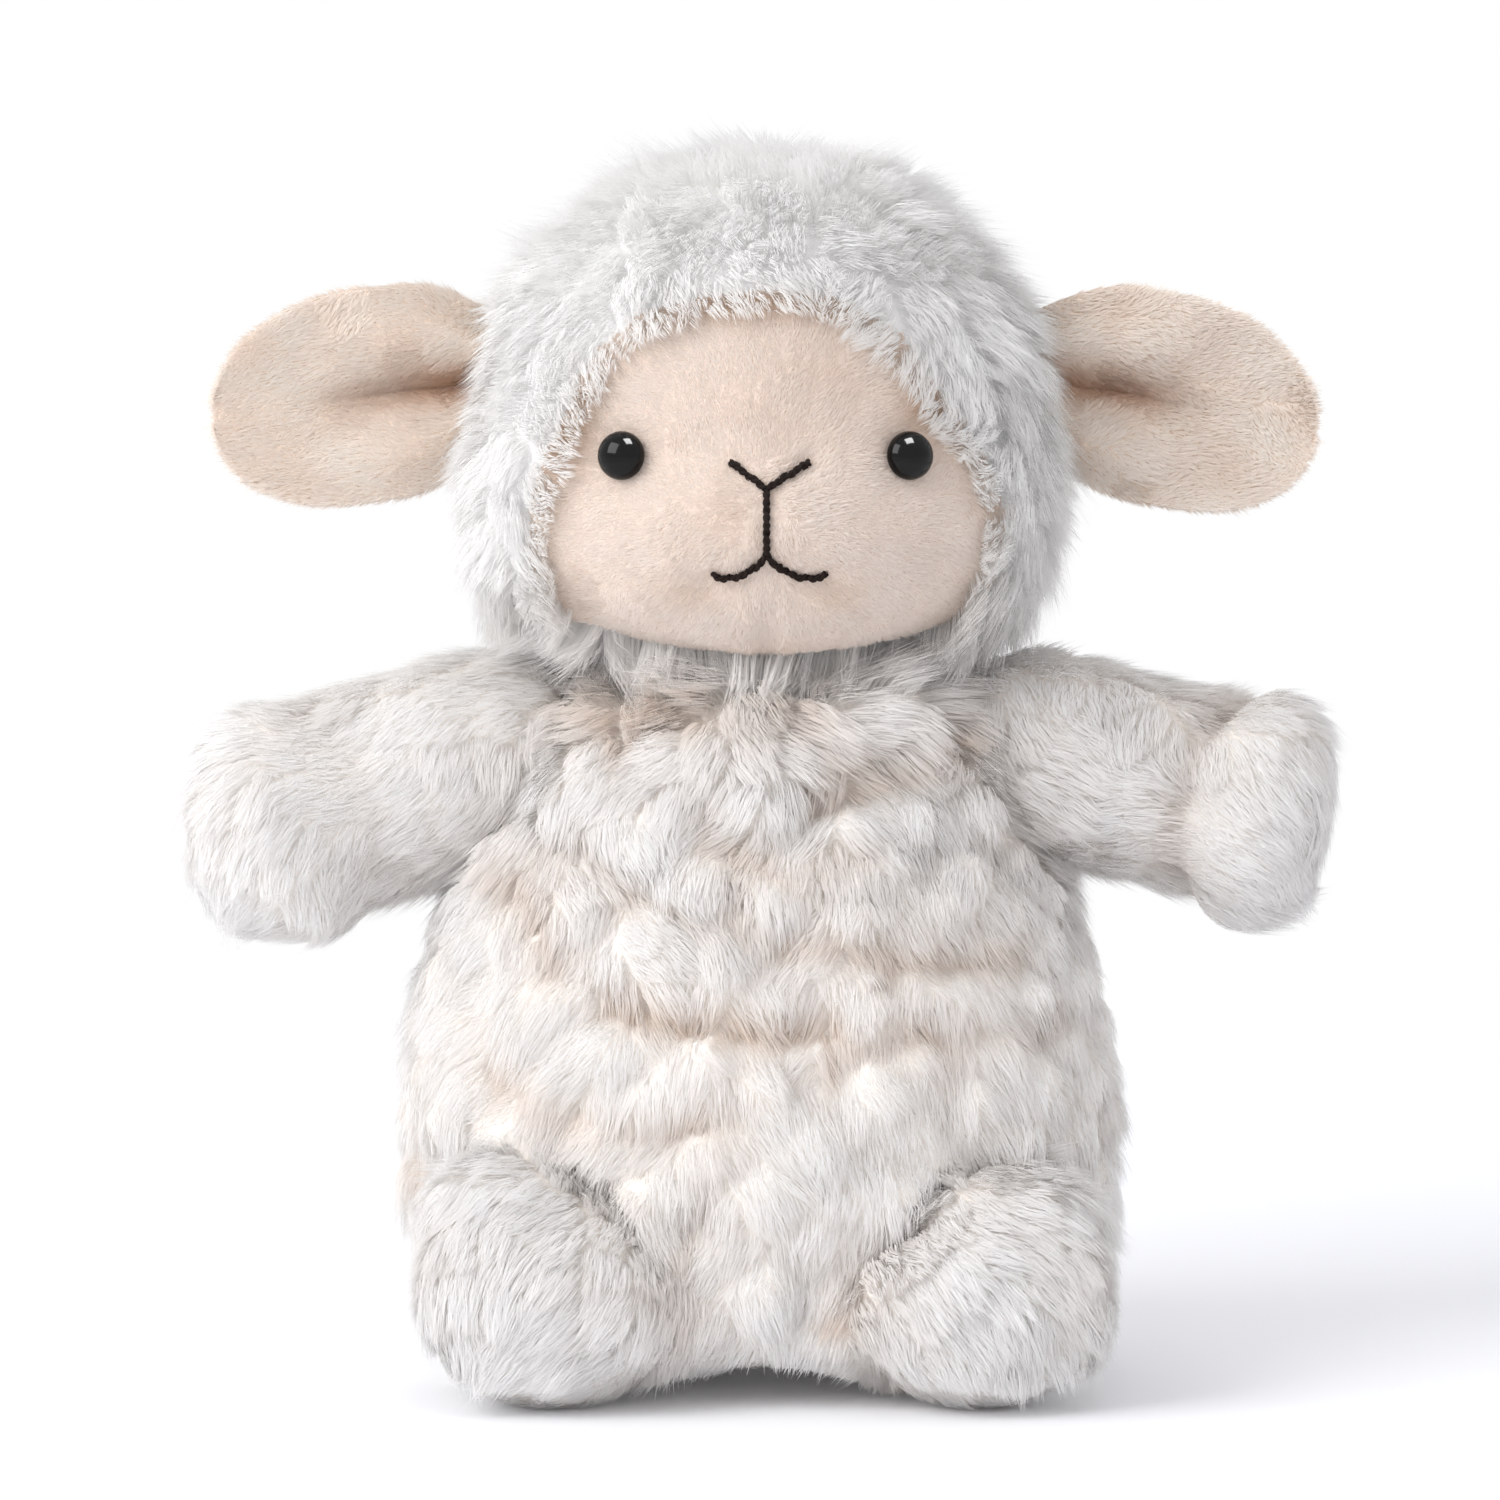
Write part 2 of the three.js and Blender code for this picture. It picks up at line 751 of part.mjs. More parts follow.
// Room for a shank through the cloth, and for shank and washer in the stuffing.
function shankHole() {
  const radius = shankRadius + layerGap;
  const wall = [[radius, -2 * shankLength], [radius, cutterProud]];
  return turned([[0, -2 * shankLength], ...wall, [0, cutterProud]], boreSides);
}

function washerPocket() {
  const wide = washerRadius + layerGap;
  const depth = -shankLength - layerGap;
  return turned([[0, depth], [wide, depth], [wide, cutterProud], [0, cutterProud]], boreSides);
}

// Head: hood halves, face panel, stuffing, eyes and washers.
function headPieces() {
  const shell = clothShell(head);
  const seat = toSolid(neckSeat());
  let face = shell.intersect(faceCutter(0)).subtract(seat);
  let filling = stuffingOf(head).subtract(seat);
  const hood = shell.subtract(faceCutter(seamGap)).subtract(seat);
  const fittings = [];
  for (const side of Object.keys(sides)) {
    const place = faceSeat((sides[side] * eyeSpacing) / 2, eyeRise);
    face = face.subtract(toSolid(shankHole().applyMatrix4(place.matrix)));
    filling = filling.subtract(toSolid(washerPocket().applyMatrix4(place.matrix)));
    place.add(part(`eye_${side}`, eyeBody(), eyeBlack, 0.08));
    place.add(part(`eye_washer_${side}`, washerBody(), washerWhite, 0.5));
    fittings.push(place);
  }
  return [
    hoodCloth('hood_left_panel', hood.intersect(halfSpace('x', seamGap / 2, 1))),
    hoodCloth('hood_right_panel', hood.intersect(halfSpace('x', -seamGap / 2, -1))),
    faceCloth('face_panel', face),
    stuffing('head_stuffing', filling),
    ...fittings,
  ];
}

// A stitch that lies on the face along a straight or bent line of (across, rise) pairs.
function faceStitch(name, pairs) {
  const line = new THREE.CatmullRomCurve3(pairs.map(([x, z]) => new THREE.Vector3(x, 0, z)));
  const count = Math.max(4, Math.ceil(line.getLength() / stitchStep));
  const points = line.getSpacedPoints(count).map((place) => {
    const { point, normal } = onFace(place.x, place.z);
    return point.addScaledVector(normal, layerGap + threadRadius);
  });
  return darkThread(name, threadTube(points));
}

// Nose and mouth: two slanted stitches, one upright stitch, and one long stitch to each side.
function faceStitches() {
  const clear = 2 * threadRadius + layerGap;
  const stitches = [
    faceStitch('lip_stitch', [[0, noseCentreRise - clear], [0, lipRise + clear / 2]]),
  ];
  for (const side of Object.keys(sides)) {
    const s = sides[side];
    stitches.push(faceStitch(`nose_stitch_${side}`, [
      [(s * clear) / 2, noseCentreRise + clear / 4],
      [s * noseHalfWidth, noseTopRise],
    ]));
    stitches.push(faceStitch(`mouth_stitch_${side}`, [
      [(s * clear) / 2, lipRise - clear / 2],
      [(s * mouthHalfWidth) / 2, lipRise - mouthDip],
      [s * mouthHalfWidth, lipRise - mouthEndDrop],
    ]));
  }
  return stitches;
}

// A closed slab over a grid, between a front and a back surface.
function slab(columns, rows, front, back) {
  const points = [];
  const triangles = [];
  const at = (layer, i, j) => (layer * (columns + 1) + i) * (rows + 1) + j;
  for (const surface of [front, back]) {
    for (let i = 0; i <= columns; i += 1) {
      for (let j = 0; j <= rows; j += 1) {
        points.push(surface(i / columns, (2 * j) / rows - 1));
      }
    }
  }
  const quad = (a, b, c, d) => triangles.push([a, b, c], [a, c, d]);
  for (let i = 0; i < columns; i += 1) {
    for (let j = 0; j < rows; j += 1) {
      quad(at(0, i, j), at(0, i + 1, j), at(0, i + 1, j + 1), at(0, i, j + 1));
      quad(at(1, i, j), at(1, i, j + 1), at(1, i + 1, j + 1), at(1, i + 1, j));
    }
    quad(at(0, i, 0), at(1, i, 0), at(1, i + 1, 0), at(0, i + 1, 0));
    quad(at(0, i, rows), at(0, i + 1, rows), at(1, i + 1, rows), at(1, i, rows));
  }
  for (let j = 0; j < rows; j += 1) {
    quad(at(0, 0, j), at(0, 0, j + 1), at(1, 0, j + 1), at(1, 0, j));
    quad(at(0, columns, j), at(1, columns, j), at(1, columns, j + 1), at(0, columns, j + 1));
  }
  return closedBody(points, triangles);
}

// Outer half width of the head beside the ears, at a rise above its underside.
function headSide(side, rise) {
  const from = new THREE.Vector3(sides[side] * outside, earBehind, headBase + rise);
  return touch(head, from, new THREE.Vector3(-sides[side], 0, 0)).point.x * sides[side];
}

function earPivot(side) {
  const out = headSide(side, earRise) + earSeatGap + earRootReach;
  return new THREE.Vector3(sides[side] * out, earBehind, headBase + earRise);
}

// Ear: a front and a back cloth, cupped forwards, creased along the middle at the root.
// along runs from the root to the tip, across from the lower edge to the upper one.
function earPieces(side) {
  const s = sides[side];
  const slope = Math.tan(radians(earDroop[side]));
  const halfHeight = (along) => {
    const opening = Math.sin(Math.min(1, along / earOpensBy) * (Math.PI / 2));
    const tip = Math.max(0, (along - earTipFrom) / (1 - earTipFrom)) * earTipRoundness;
    const wide = THREE.MathUtils.lerp(earRootHalfHeight, earHalfHeight, opening);
    return wide * Math.sqrt(1 - tip * tip);
  };
  const middle = headSide(side, earRise);
  const surface = (offset) => (along, across) => {
    const rootShift = headSide(side, earRise + earRootHalfHeight * across) - middle;
    const out = rootShift * (1 - along) ** 2 + along * (earLength + earRootReach) - earRootReach;
    const up = halfHeight(along) * across - slope * out;
    const opened = Math.min(1, along * earColumns);
    const spread = THREE.MathUtils.lerp(earCupRootShare, 1, Math.sin(Math.PI * along));
    const cup = -earCup * across * across * opened * spread;
    const valley = Math.exp(-((across / earCreaseHalfShare) ** 2));
    const crease = earCrease * valley * opened * (1 - along);
    const rim = Math.abs(across) === 1 || along === 0 || along === 1;
    const thick = rim ? earEdgeThickness : earPanelThickness;
    const depth = cup + crease + offset.gap + offset.cloth * thick;
    return new THREE.Vector3(s * out, depth, up);
  };
  const frontPanel = slab(
    earColumns, earRows,
    surface({ gap: -layerGap / 2, cloth: -1 }),
    surface({ gap: -layerGap / 2, cloth: 0 }),
  );
  const backPanel = slab(
    earColumns, earRows,
    surface({ gap: layerGap / 2, cloth: 0 }),
    surface({ gap: layerGap / 2, cloth: 1 }),
  );
  const ear = new THREE.Group();
  ear.position.copy(earPivot(side));
  ear.add(faceCloth(`ear_${side}_front_panel`, frontPanel));
  ear.add(faceCloth(`ear_${side}_back_panel`, backPanel));
  return ear;
}

// Arm: front and back panels round a stuffing core.
function armPieces(side) {
  const form = armForm(side);
  const shell = clothShell(form);
  const arm = new THREE.Group();
  arm.position.copy(shoulderPivot(side));
  arm.add(bodyCloth(`arm_${side}_front_panel`, shell.intersect(halfSpace('y', -seamGap / 2, -1))));
  arm.add(bodyCloth(`arm_${side}_back_panel`, shell.intersect(halfSpace('y', seamGap / 2, 1))));
  arm.add(stuffing(`arm_${side}_stuffing`, stuffingOf(form)));
  return arm;
}

// Leg: an upper panel, a sole that stands flat on the ground, and a stuffing core.
function legPieces(side) {
  const form = legForm(side);
  const ground = halfSpace('z', -hipHeight, 1);
  const inside = halfSpace('z', clothThickness / 2 + layerGap - hipHeight, 1);
  const shell = clothShell(form).intersect(ground);
  const seam = soleSeamHeight - hipHeight;
  const leg = new THREE.Group();
  leg.position.copy(hipPivot(side));
  leg.add(bodyCloth(`leg_${side}_upper_panel`, shell.intersect(halfSpace('z', seam + seamGap, 1))));
  leg.add(bodyCloth(`leg_${side}_sole`, shell.intersect(halfSpace('z', seam, -1))));
  leg.add(stuffing(`leg_${side}_stuffing`, stuffingOf(form).intersect(inside)));
  return leg;
}

// Tail: a cover that is open at its root, where it is sewn in, and its stuffing.
function tailPieces() {
  const form = tailForm();
  const mouth = halfSpace('y', -tailRootRadius / 2, -1);
  const tail = new THREE.Group();
  tail.position.copy(tailPivot());
  tail.add(bodyCloth('tail_cover', clothShell(form).subtract(mouth)));
  tail.add(stuffing('tail_stuffing', stuffingOf(form)));
  return tail;
}

const room = torsoRoom();
const sheep = new THREE.Group();
sheep.add(...torsoCover(room), ...torsoFilling(room), closingThread(), ...neck());
sheep.add(...headPieces(), ...faceStitches(), tailPieces());
for (const side of Object.keys(sides)) {
  sheep.add(earPieces(side), armPieces(side), legPieces(side));
}

export default sheep;
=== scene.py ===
"""A stuffed sheep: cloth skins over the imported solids, and a pile of real fibres on each panel."""

import json
import math

import bmesh
import bpy
import numpy as np
from mathutils import Matrix, Vector
from mathutils.bvhtree import BVHTree


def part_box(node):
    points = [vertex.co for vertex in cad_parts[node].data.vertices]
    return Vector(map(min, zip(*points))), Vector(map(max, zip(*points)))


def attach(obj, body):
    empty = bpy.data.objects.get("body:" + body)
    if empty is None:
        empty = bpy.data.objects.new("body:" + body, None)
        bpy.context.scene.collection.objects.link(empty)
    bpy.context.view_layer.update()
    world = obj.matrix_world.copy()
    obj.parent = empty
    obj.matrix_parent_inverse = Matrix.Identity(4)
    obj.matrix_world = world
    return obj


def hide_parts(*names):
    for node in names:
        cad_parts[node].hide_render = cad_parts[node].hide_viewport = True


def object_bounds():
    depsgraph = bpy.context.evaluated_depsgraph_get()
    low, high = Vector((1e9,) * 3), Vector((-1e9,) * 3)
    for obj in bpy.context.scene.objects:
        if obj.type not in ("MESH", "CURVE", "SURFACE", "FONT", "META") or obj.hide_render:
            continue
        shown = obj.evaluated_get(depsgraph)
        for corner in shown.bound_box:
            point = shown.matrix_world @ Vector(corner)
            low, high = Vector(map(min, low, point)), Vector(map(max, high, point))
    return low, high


MM = 0.001
UP = Vector((0, 0, 1))
UPRIGHT = np.array(UP)

# Camera: the photograph's frame in the plane of the arms, seen from a little above
FRAME_PIXELS = 1500
PIXEL = 0.1875 * MM
MIDDLE_COLUMN = 765
GROUND_ROW = 1385
LENS = 150
SENSOR = 36
CAMERA_TILT = math.radians(4)
AIM_DEPTH = -12 * MM

# Light
WINDOW_PLACE = (-1.35, -0.95, 1.1)
WINDOW_SIZE = 1.2
WINDOW_POWER = 22.5
GLINT_PLACE = (0.3, -0.55, 1.5)
GLINT_SIZE = 0.7
GLINT_POWER = 50
SKY_COLOUR = (0.985, 0.985, 1, 1)
SKY_STRENGTH = 0.84
WHITE = (1, 1, 1, 1)

# Floor: the shadow fades out between these distances from the toy, into plain white
SHADOW_NEAR = 0.3
SHADOW_FAR = 0.7
PAPER_COLOUR = (0.94, 0.945, 0.97, 1)
PAPER_GLOW = 0.05

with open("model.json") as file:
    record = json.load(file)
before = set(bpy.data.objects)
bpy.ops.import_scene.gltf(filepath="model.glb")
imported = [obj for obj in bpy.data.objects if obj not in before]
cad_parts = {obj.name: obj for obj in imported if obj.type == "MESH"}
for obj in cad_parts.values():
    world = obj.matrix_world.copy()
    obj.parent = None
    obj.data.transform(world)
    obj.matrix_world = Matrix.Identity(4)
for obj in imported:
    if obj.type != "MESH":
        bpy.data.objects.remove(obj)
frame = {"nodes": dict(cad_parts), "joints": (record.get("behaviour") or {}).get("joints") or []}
cad_low, cad_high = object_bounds()
SIDES = {"left": 1, "right": -1}
JOINTS = {joint["name"]: joint for joint in frame["joints"]}


def pivot(joint):
    """The point that a joint turns about, in metres."""
    return Vector(JOINTS[joint]["pos_m"])


# Node wiring

def worked(operation, reflected=False):
    """An operator that adds the node for one step of arithmetic."""
    def step(wire, other):
        terms = (other, wire) if reflected else (wire, other)
        return wire.board.maths(operation, *terms)
    return step


class Wire:
    """An output socket; arithmetic on it adds the nodes that work it out."""

    def __init__(self, board, socket):
        self.board = board
        self.socket = socket

    __add__ = worked("ADD")
    __radd__ = worked("ADD", reflected=True)
    __sub__ = worked("SUBTRACT")
    __rsub__ = worked("SUBTRACT", reflected=True)
    __mul__ = worked("MULTIPLY")
    __rmul__ = worked("MULTIPLY", reflected=True)
    __truediv__ = worked("DIVIDE")
    __rtruediv__ = worked("DIVIDE", reflected=True)
    __pow__ = worked("POWER")
    __rpow__ = worked("POWER", reflected=True)

    def beside(self, name):
        """Another output of the same node."""
        return Wire(self.board, self.socket.node.outputs[name])


def is_vector(term):
    """Whether a term of a sum is a vector rather than a number."""
    if isinstance(term, Wire):
        return term.socket.type == "VECTOR"
    return hasattr(term, "__len__")


class Board:
    """A node tree that nodes are added to."""

    def __init__(self, tree):
        self.tree = tree

    def add(self, kind, settings=None, inputs=None, output=0):
        """Adds a node, sets it, fills its inputs with values or wires, and returns one output."""
        node = self.tree.nodes.new(kind)
        for name, value in (settings or {}).items():
            setattr(node, name, value)
        filled = inputs or {}
        for key, value in filled.items() if isinstance(filled, dict) else enumerate(filled):
            if isinstance(value, Wire):
                self.tree.links.new(value.socket, node.inputs[key])
            else:
                node.inputs[key].default_value = value
        return Wire(self, node.outputs[output]) if node.outputs else None

    def maths(self, operation, *terms):
        """One step of arithmetic on numbers, on vectors, or on a vector and a number."""
        vectors = [term for term in terms if is_vector(term)]
        if not vectors:
            return self.add("ShaderNodeMath", {"operation": operation}, terms)
        if operation == "MULTIPLY" and len(vectors) == 1:
            number = next(term for term in terms if not is_vector(term))
            return self.vector_maths("SCALE", {"Vector": vectors[0], "Scale": number})
        return self.vector_maths(operation, terms)

    def vector_maths(self, operation, inputs, output=0):
        return self.add("ShaderNodeVectorMath", {"operation": operation}, inputs, output)

    def unit(self, vector):
        return self.vector_maths("NORMALIZE", [vector])

    def length(self, vector):
        return self.vector_maths("LENGTH", [vector], "Value")

    def mix_colours(self, factor, first, second):
        settings = {"data_type": "RGBA", "clamp_factor": True}
        return self.add("ShaderNodeMix", settings, {0: factor, 6: first, 7: second}, 2)


# Colours and materials

# How early a fibre pales towards its tip, and how late the tan comes in as it lies lower;
# the darker root is painted shade deep in the pile, and the tan is mostly painted shade in its
# clefts and creases
PALING = 0.7
SHADING_ONSET = 1.2


def colour(red, green, blue):
    """A colour seen on screen, from 0 to 255, as the light that it stands for."""
    shares = [value / 255 for value in (red, green, blue)]
    light = [s / 12.92 if s <= 0.04045 else ((s + 0.055) / 1.055) ** 2.4 for s in shares]
    return (*light, 1)


def new_material(name):
    """An empty node material and its board."""
    material = bpy.data.materials.new(name)
    material.use_nodes = True
    material.node_tree.nodes.clear()
    return material, Board(material.node_tree)


def close_material(board, shader):
    board.add("ShaderNodeOutputMaterial", None, {"Surface": shader})


def fibre_material(name, root, tip, tone_and_shade, glow, through):
    """Fibres that pale from root to tip, with deeper and yellower ones where they lie low: mostly
    painted shade, over a little of the wool's own tone.
    """
    material, board = new_material(name)
    place = board.add("ShaderNodeUVMap", {"uv_map": "OFBake"})
    along = board.add("ShaderNodeSeparateXYZ", None, [place])
    # low is how far a fibre takes the tan: mostly painted shade in clefts, creases and hollows
    low = along.beside(1)
    body = board.mix_colours(along ** PALING, colour(*root), colour(*tip))
    cloth = board.add("ShaderNodeBsdfPrincipled", None, {
        "Base Color": board.mix_colours(low ** SHADING_ONSET, body, colour(*tone_and_shade)),
        "Roughness": 0.85,
        "Specular IOR Level": 0.15,
        "Sheen Weight": 0.15,
    })
    lit = board.add("ShaderNodeBsdfTranslucent", None, {"Color": (*glow, 1)})
    close_material(board, board.add("ShaderNodeMixShader", None, [through, cloth, lit]))
    return material


def cloth_material(name, ground, dark):
    """Knitted backing: fine loops in rows, seen only between the fibres."""
    material, board = new_material(name)
    place = board.add("ShaderNodeTexCoord", None, None, "Object")
    knit = board.add("ShaderNodeTexVoronoi", {"feature": "F1"}, {"Vector": place, "Scale": 900})
    patch = board.add("ShaderNodeTexNoise", None, {"Vector": place, "Scale": 90, "Detail": 3})
    bump = board.add("ShaderNodeBump", None, {
        "Strength": 0.4, "Distance": 0.3 * MM, "Height": knit})
    cloth = board.add("ShaderNodeBsdfPrincipled", None, {
        "Base Color": board.mix_colours(knit * 0.6 + patch * 0.5, colour(*ground), colour(*dark)),
        "Roughness": 0.95,
        "Specular IOR Level": 0.1,
        "Normal": bump,
    })
    close_material(board, cloth)
    return material


def gloss_material(name, base, roughness):
    """Moulded plastic with the faintest of ripples in its polish."""
    material, board = new_material(name)
    place = board.add("ShaderNodeTexCoord", None, None, "Object")
    haze = board.add("ShaderNodeTexNoise", None, {"Vector": place, "Scale": 700, "Detail": 2})
    plastic = board.add("ShaderNodeBsdfPrincipled", None, {
        "Base Color": (*base, 1),
        "Roughness": haze * 0.04 + roughness,
        "Specular IOR Level": 0.25,
    })
    close_material(board, plastic)
    return material


# Stage

def floor_material():
    """White paper: pure white to the camera, but for the toy's shadow near its feet."""
    material, board = new_material("white_paper")
    path = board.add("ShaderNodeLightPath")
    seen = path + path.beside("Is Glossy Ray") + path.beside("Is Transmission Ray")
    away = board.length(board.add("ShaderNodeTexCoord", None, None, "Object"))
    fade = board.add("ShaderNodeMapRange", {"interpolation_type": "SMOOTHSTEP"}, [
        away, SHADOW_NEAR, SHADOW_FAR, 0, 1])
    paper = board.add("ShaderNodeBsdfDiffuse", None, {"Color": PAPER_COLOUR})
    glow = board.add("ShaderNodeEmission", None, {"Color": WHITE, "Strength": PAPER_GLOW})
    pale = board.add("ShaderNodeEmission", None, {"Color": WHITE, "Strength": 1})
    bright = board.add("ShaderNodeAddShader", None, [paper, glow])
    shown = board.add("ShaderNodeMixShader", None, [fade, bright, pale])
    close_material(board, board.add("ShaderNodeMixShader", None, [seen, paper, shown]))
    return material


def make_stage():
    """A paper sweep: a floor that curves up behind the toy."""
    half_width, front, back, bend, top, steps = 3, -2, 1.4, 0.5, 3, 12
    profile = [(front, 0), (back, 0)]
    for step in range(1, steps + 1):
        turn = math.pi / 2 * step / steps
        profile.append((back + bend * math.sin(turn), bend - bend * math.cos(turn)))
    profile.append((back + bend, top))
    points = [(x, y, z) for y, z in profile for x in (-half_width, half_width)]
    sweep = new_piece("paper_sweep", points, strip_faces(len(profile)), floor_material())


def area_light(name, place, size, power, target):
    """A square soft box that faces a point."""
    light = bpy.data.lights.new(name, "AREA")
    light.size = size
    light.energy = power
    lamp = bpy.data.objects.new(name, light)
    lamp.location = place
    lamp.rotation_euler = (Vector(target) - Vector(place)).to_track_quat("-Z", "Y").to_euler()
    bpy.context.scene.collection.objects.link(lamp)
    return lamp


def make_light():
    """A window box from the left, a lamp that shows only as a glint, and a pale room."""
    middle = (cad_low + cad_high) / 2
    area_light("window_box", WINDOW_PLACE, WINDOW_SIZE, WINDOW_POWER, middle)
    glint = area_light("glint_box", GLINT_PLACE, GLINT_SIZE, GLINT_POWER, middle)
    glint.visible_diffuse = False
    glint.visible_transmission = False
    world = bpy.data.worlds.new("white_room")
    bpy.context.scene.world = world
    world.use_nodes = True
    world.node_tree.nodes.clear()
    board = Board(world.node_tree)
    path = board.add("ShaderNodeLightPath")
    room = board.add("ShaderNodeBackground", None, {"Color": SKY_COLOUR, "Strength": SKY_STRENGTH})
    seen = board.add("ShaderNodeBackground", None, {"Color": WHITE, "Strength": 1})
    shown = board.add("ShaderNodeMixShader", None, [path, room, seen])
    board.add("ShaderNodeOutputWorld", None, {"Surface": shown})


def make_camera():
    """A camera in front of the toy, a little above it, at the photograph's scale."""
    camera = bpy.data.cameras.new("camera")
    camera.lens = LENS
    camera.sensor_width = SENSOR
    distance = FRAME_PIXELS * PIXEL * LENS / SENSOR
    holder = bpy.data.objects.new("camera", camera)
    across = (FRAME_PIXELS / 2 - MIDDLE_COLUMN) * PIXEL
    height = (GROUND_ROW - FRAME_PIXELS / 2) * PIXEL
    back, rise = distance * math.cos(CAMERA_TILT), distance * math.sin(CAMERA_TILT)
    holder.location = (across, AIM_DEPTH - back, height + rise)
    holder.rotation_euler = (math.pi / 2 - CAMERA_TILT, 0, 0)
    bpy.context.scene.collection.objects.link(holder)
    bpy.context.scene.camera = holder


# Meshes

def strip_faces(pairs):
    """The faces of a strip of paired points."""
    return [(2 * k, 2 * k + 1, 2 * k + 3, 2 * k + 2) for k in range(pairs - 1)]


def new_piece(name, points, faces, material=None):
    """A mesh object at the origin."""
    mesh = bpy.data.meshes.new(name)
    mesh.from_pydata([tuple(point) for point in points], [], faces)
    return show(name, mesh, material)


def show(name, mesh, material=None):
    """Puts a mesh in the scene as a named object with one material."""
    mesh.name = name
    if material is not None:
        mesh.materials.clear()
        mesh.materials.append(material)
    piece = bpy.data.objects.new(name, mesh)
    bpy.context.scene.collection.objects.link(piece)
    return piece


def settled(piece):
    """The mesh of a piece with its modifiers worked in; the piece itself goes."""
    graph = bpy.context.evaluated_depsgraph_get()
    mesh = bpy.data.meshes.new_from_object(piece.evaluated_get(graph))
    bpy.data.objects.remove(piece)
    return mesh


def written(name, shape):
    """A new mesh from a worked shape, which goes."""
    mesh = bpy.data.meshes.new(name)
    shape.to_mesh(mesh)
    shape.free()
    return mesh


def rows_of(items, name):
    """A property of a mesh's points or faces that has three numbers, one row for each."""
    rows = np.empty(len(items) * 3)
    items.foreach_get(name, rows)
    return rows.reshape(-1, 3)


def surface_of(mesh):
    """The places and normals of a mesh's points."""
    return rows_of(mesh.vertices, "co"), rows_of(mesh.vertex_normals, "vector")


def centres_of(mesh):
    return rows_of(mesh.polygons, "center")


def set_points(mesh, places):
    mesh.vertices.foreach_set("co", places.ravel())
    mesh.update()


# Corners of the solids closer than this are one
SAME_CORNER = 0.001 * MM


def merged_solids(nodes):
    """One mesh with copies of the named solids, their doubled corners merged."""
    whole = bmesh.new()
    for node in nodes:
        whole.from_mesh(frame["nodes"][node].data)
    bmesh.ops.remove_doubles(whole, verts=whole.verts, dist=SAME_CORNER)
    return written("solids", whole)


def skin_of(nodes, voxel, passes):
    """One closed, smooth skin round the named solids; voxel is in mm."""
    piece = show("skin", merged_solids(nodes))
    remesh = piece.modifiers.new("remesh", "REMESH")
    remesh.mode = "VOXEL"
    remesh.voxel_size = voxel * MM
    smooth = piece.modifiers.new("smooth", "SMOOTH")
    smooth.factor = 0.5
    smooth.iterations = passes
    return settled(piece)


def tree_round(mesh):
    """A search tree over a mesh's faces."""
    return BVHTree.FromPolygons(
        [vertex.co for vertex in mesh.vertices], [face.vertices for face in mesh.polygons])


def tree_of(nodes):
    """A search tree over the named solids."""
    mesh = merged_solids(nodes)
    tree = tree_round(mesh)
    bpy.data.meshes.remove(mesh)
    return tree


def nearest_panel(mesh, panels):
    """For each face of a skin, the name of the panel that it lies on."""
    trees = [(name, tree_of([name])) for name in panels]
    found = []
    for face in mesh.polygons:
        found.append(min(trees, key=lambda item: item[1].find_nearest(face.center)[3])[0])
    return np.array(found)


# Fields over a surface

def mm(places):
    """Places in mm."""
    return places / MM


def clamped(values):
    """Values kept from 0 to 1."""
    return np.clip(values, 0, 1)


def hill(away, width, power=2):
    """1 where away is 0, and next to nothing from twice the width on either side."""
    return np.exp(-(away / width) ** power)


def mound(across, up, x, z, wide, high):
    """An oval hill in the front view, 1 at its middle; x, z and its half sizes are in mm."""
    return np.exp(-((across - x) / wide) ** 2 - ((up - z) / high) ** 2)


def unit_rows(rows):
    return rows / np.maximum(np.linalg.norm(rows, axis=1, keepdims=True), 1e-9)


def on_surface(directions, normals):
    """Directions laid flat on the surface that has the given normals."""
    flat = directions - np.sum(directions * normals, axis=1, keepdims=True) * normals
    return unit_rows(flat)


def swirled(lay, normals, amount):
    """Directions turned to one side or the other on the surface."""
    flat = on_surface(lay, normals)
    return flat + np.cross(normals, flat) * amount[:, None]


def uneven(places, wave, seed):
    """A smooth uneven field from about -1 to 1, made of plane waves about wave mm long."""
    draw = np.random.default_rng(seed)
    total = np.zeros(len(places))
    waves = 7
    for _ in range(waves):
        direction = unit_rows(draw.normal(size=(1, 3)))[0]
        stretch = draw.uniform(0.7, 1.4)
        phase = draw.uniform(0, 2 * math.pi)
        total += np.sin(places @ direction * 2 * math.pi * stretch / (wave * MM) + phase)
    return total / math.sqrt(waves)


def near_line(across, up, line):
    """Distance in mm of each point from a bent line of (across, up) places."""
    best = np.full(len(across), 1e9)
    for (x0, z0), (x1, z1) in zip(line, line[1:]):
        dx, dz = x1 - x0, z1 - z0
        share = clamped(((across - x0) * dx + (up - z0) * dz) / (dx * dx + dz * dz))
        best = np.minimum(best, np.hypot(across - x0 - share * dx, up - z0 - share * dz))
    return best


def closeness(places, nodes, reach):
    """How close each point is to the named solids: 1 where it touches, 0 from reach mm away."""
    tree = tree_of(nodes)
    gaps = np.array([tree.find_nearest(Vector(place))[3] for place in places])
    return clamped(1 - mm(gaps) / reach)


def depth_inside(skin, centres):
    """How deep each place lies inside a skin, in metres; outside it is negative."""
    tree = tree_round(skin)
    depths = []
    for centre in centres:
        found, normal, _, distance = tree.find_nearest(Vector(centre))
        inside = (Vector(centre) - found).dot(normal) < 0
        depths.append(distance if inside else -distance)
    return np.array(depths)


def clear_of(centres, joint, reach):
    """Which faces lie more than reach mm away from a joint's point."""
    return np.linalg.norm(centres - np.array(pivot(joint)), axis=1) > reach * MM


# Tufts are a little longer than wide, and each turns to one side of the lay or the other
TUFT_LONG = 0.95
TUFT_WIDE = 0.75
TUFT_TURN = 0.6


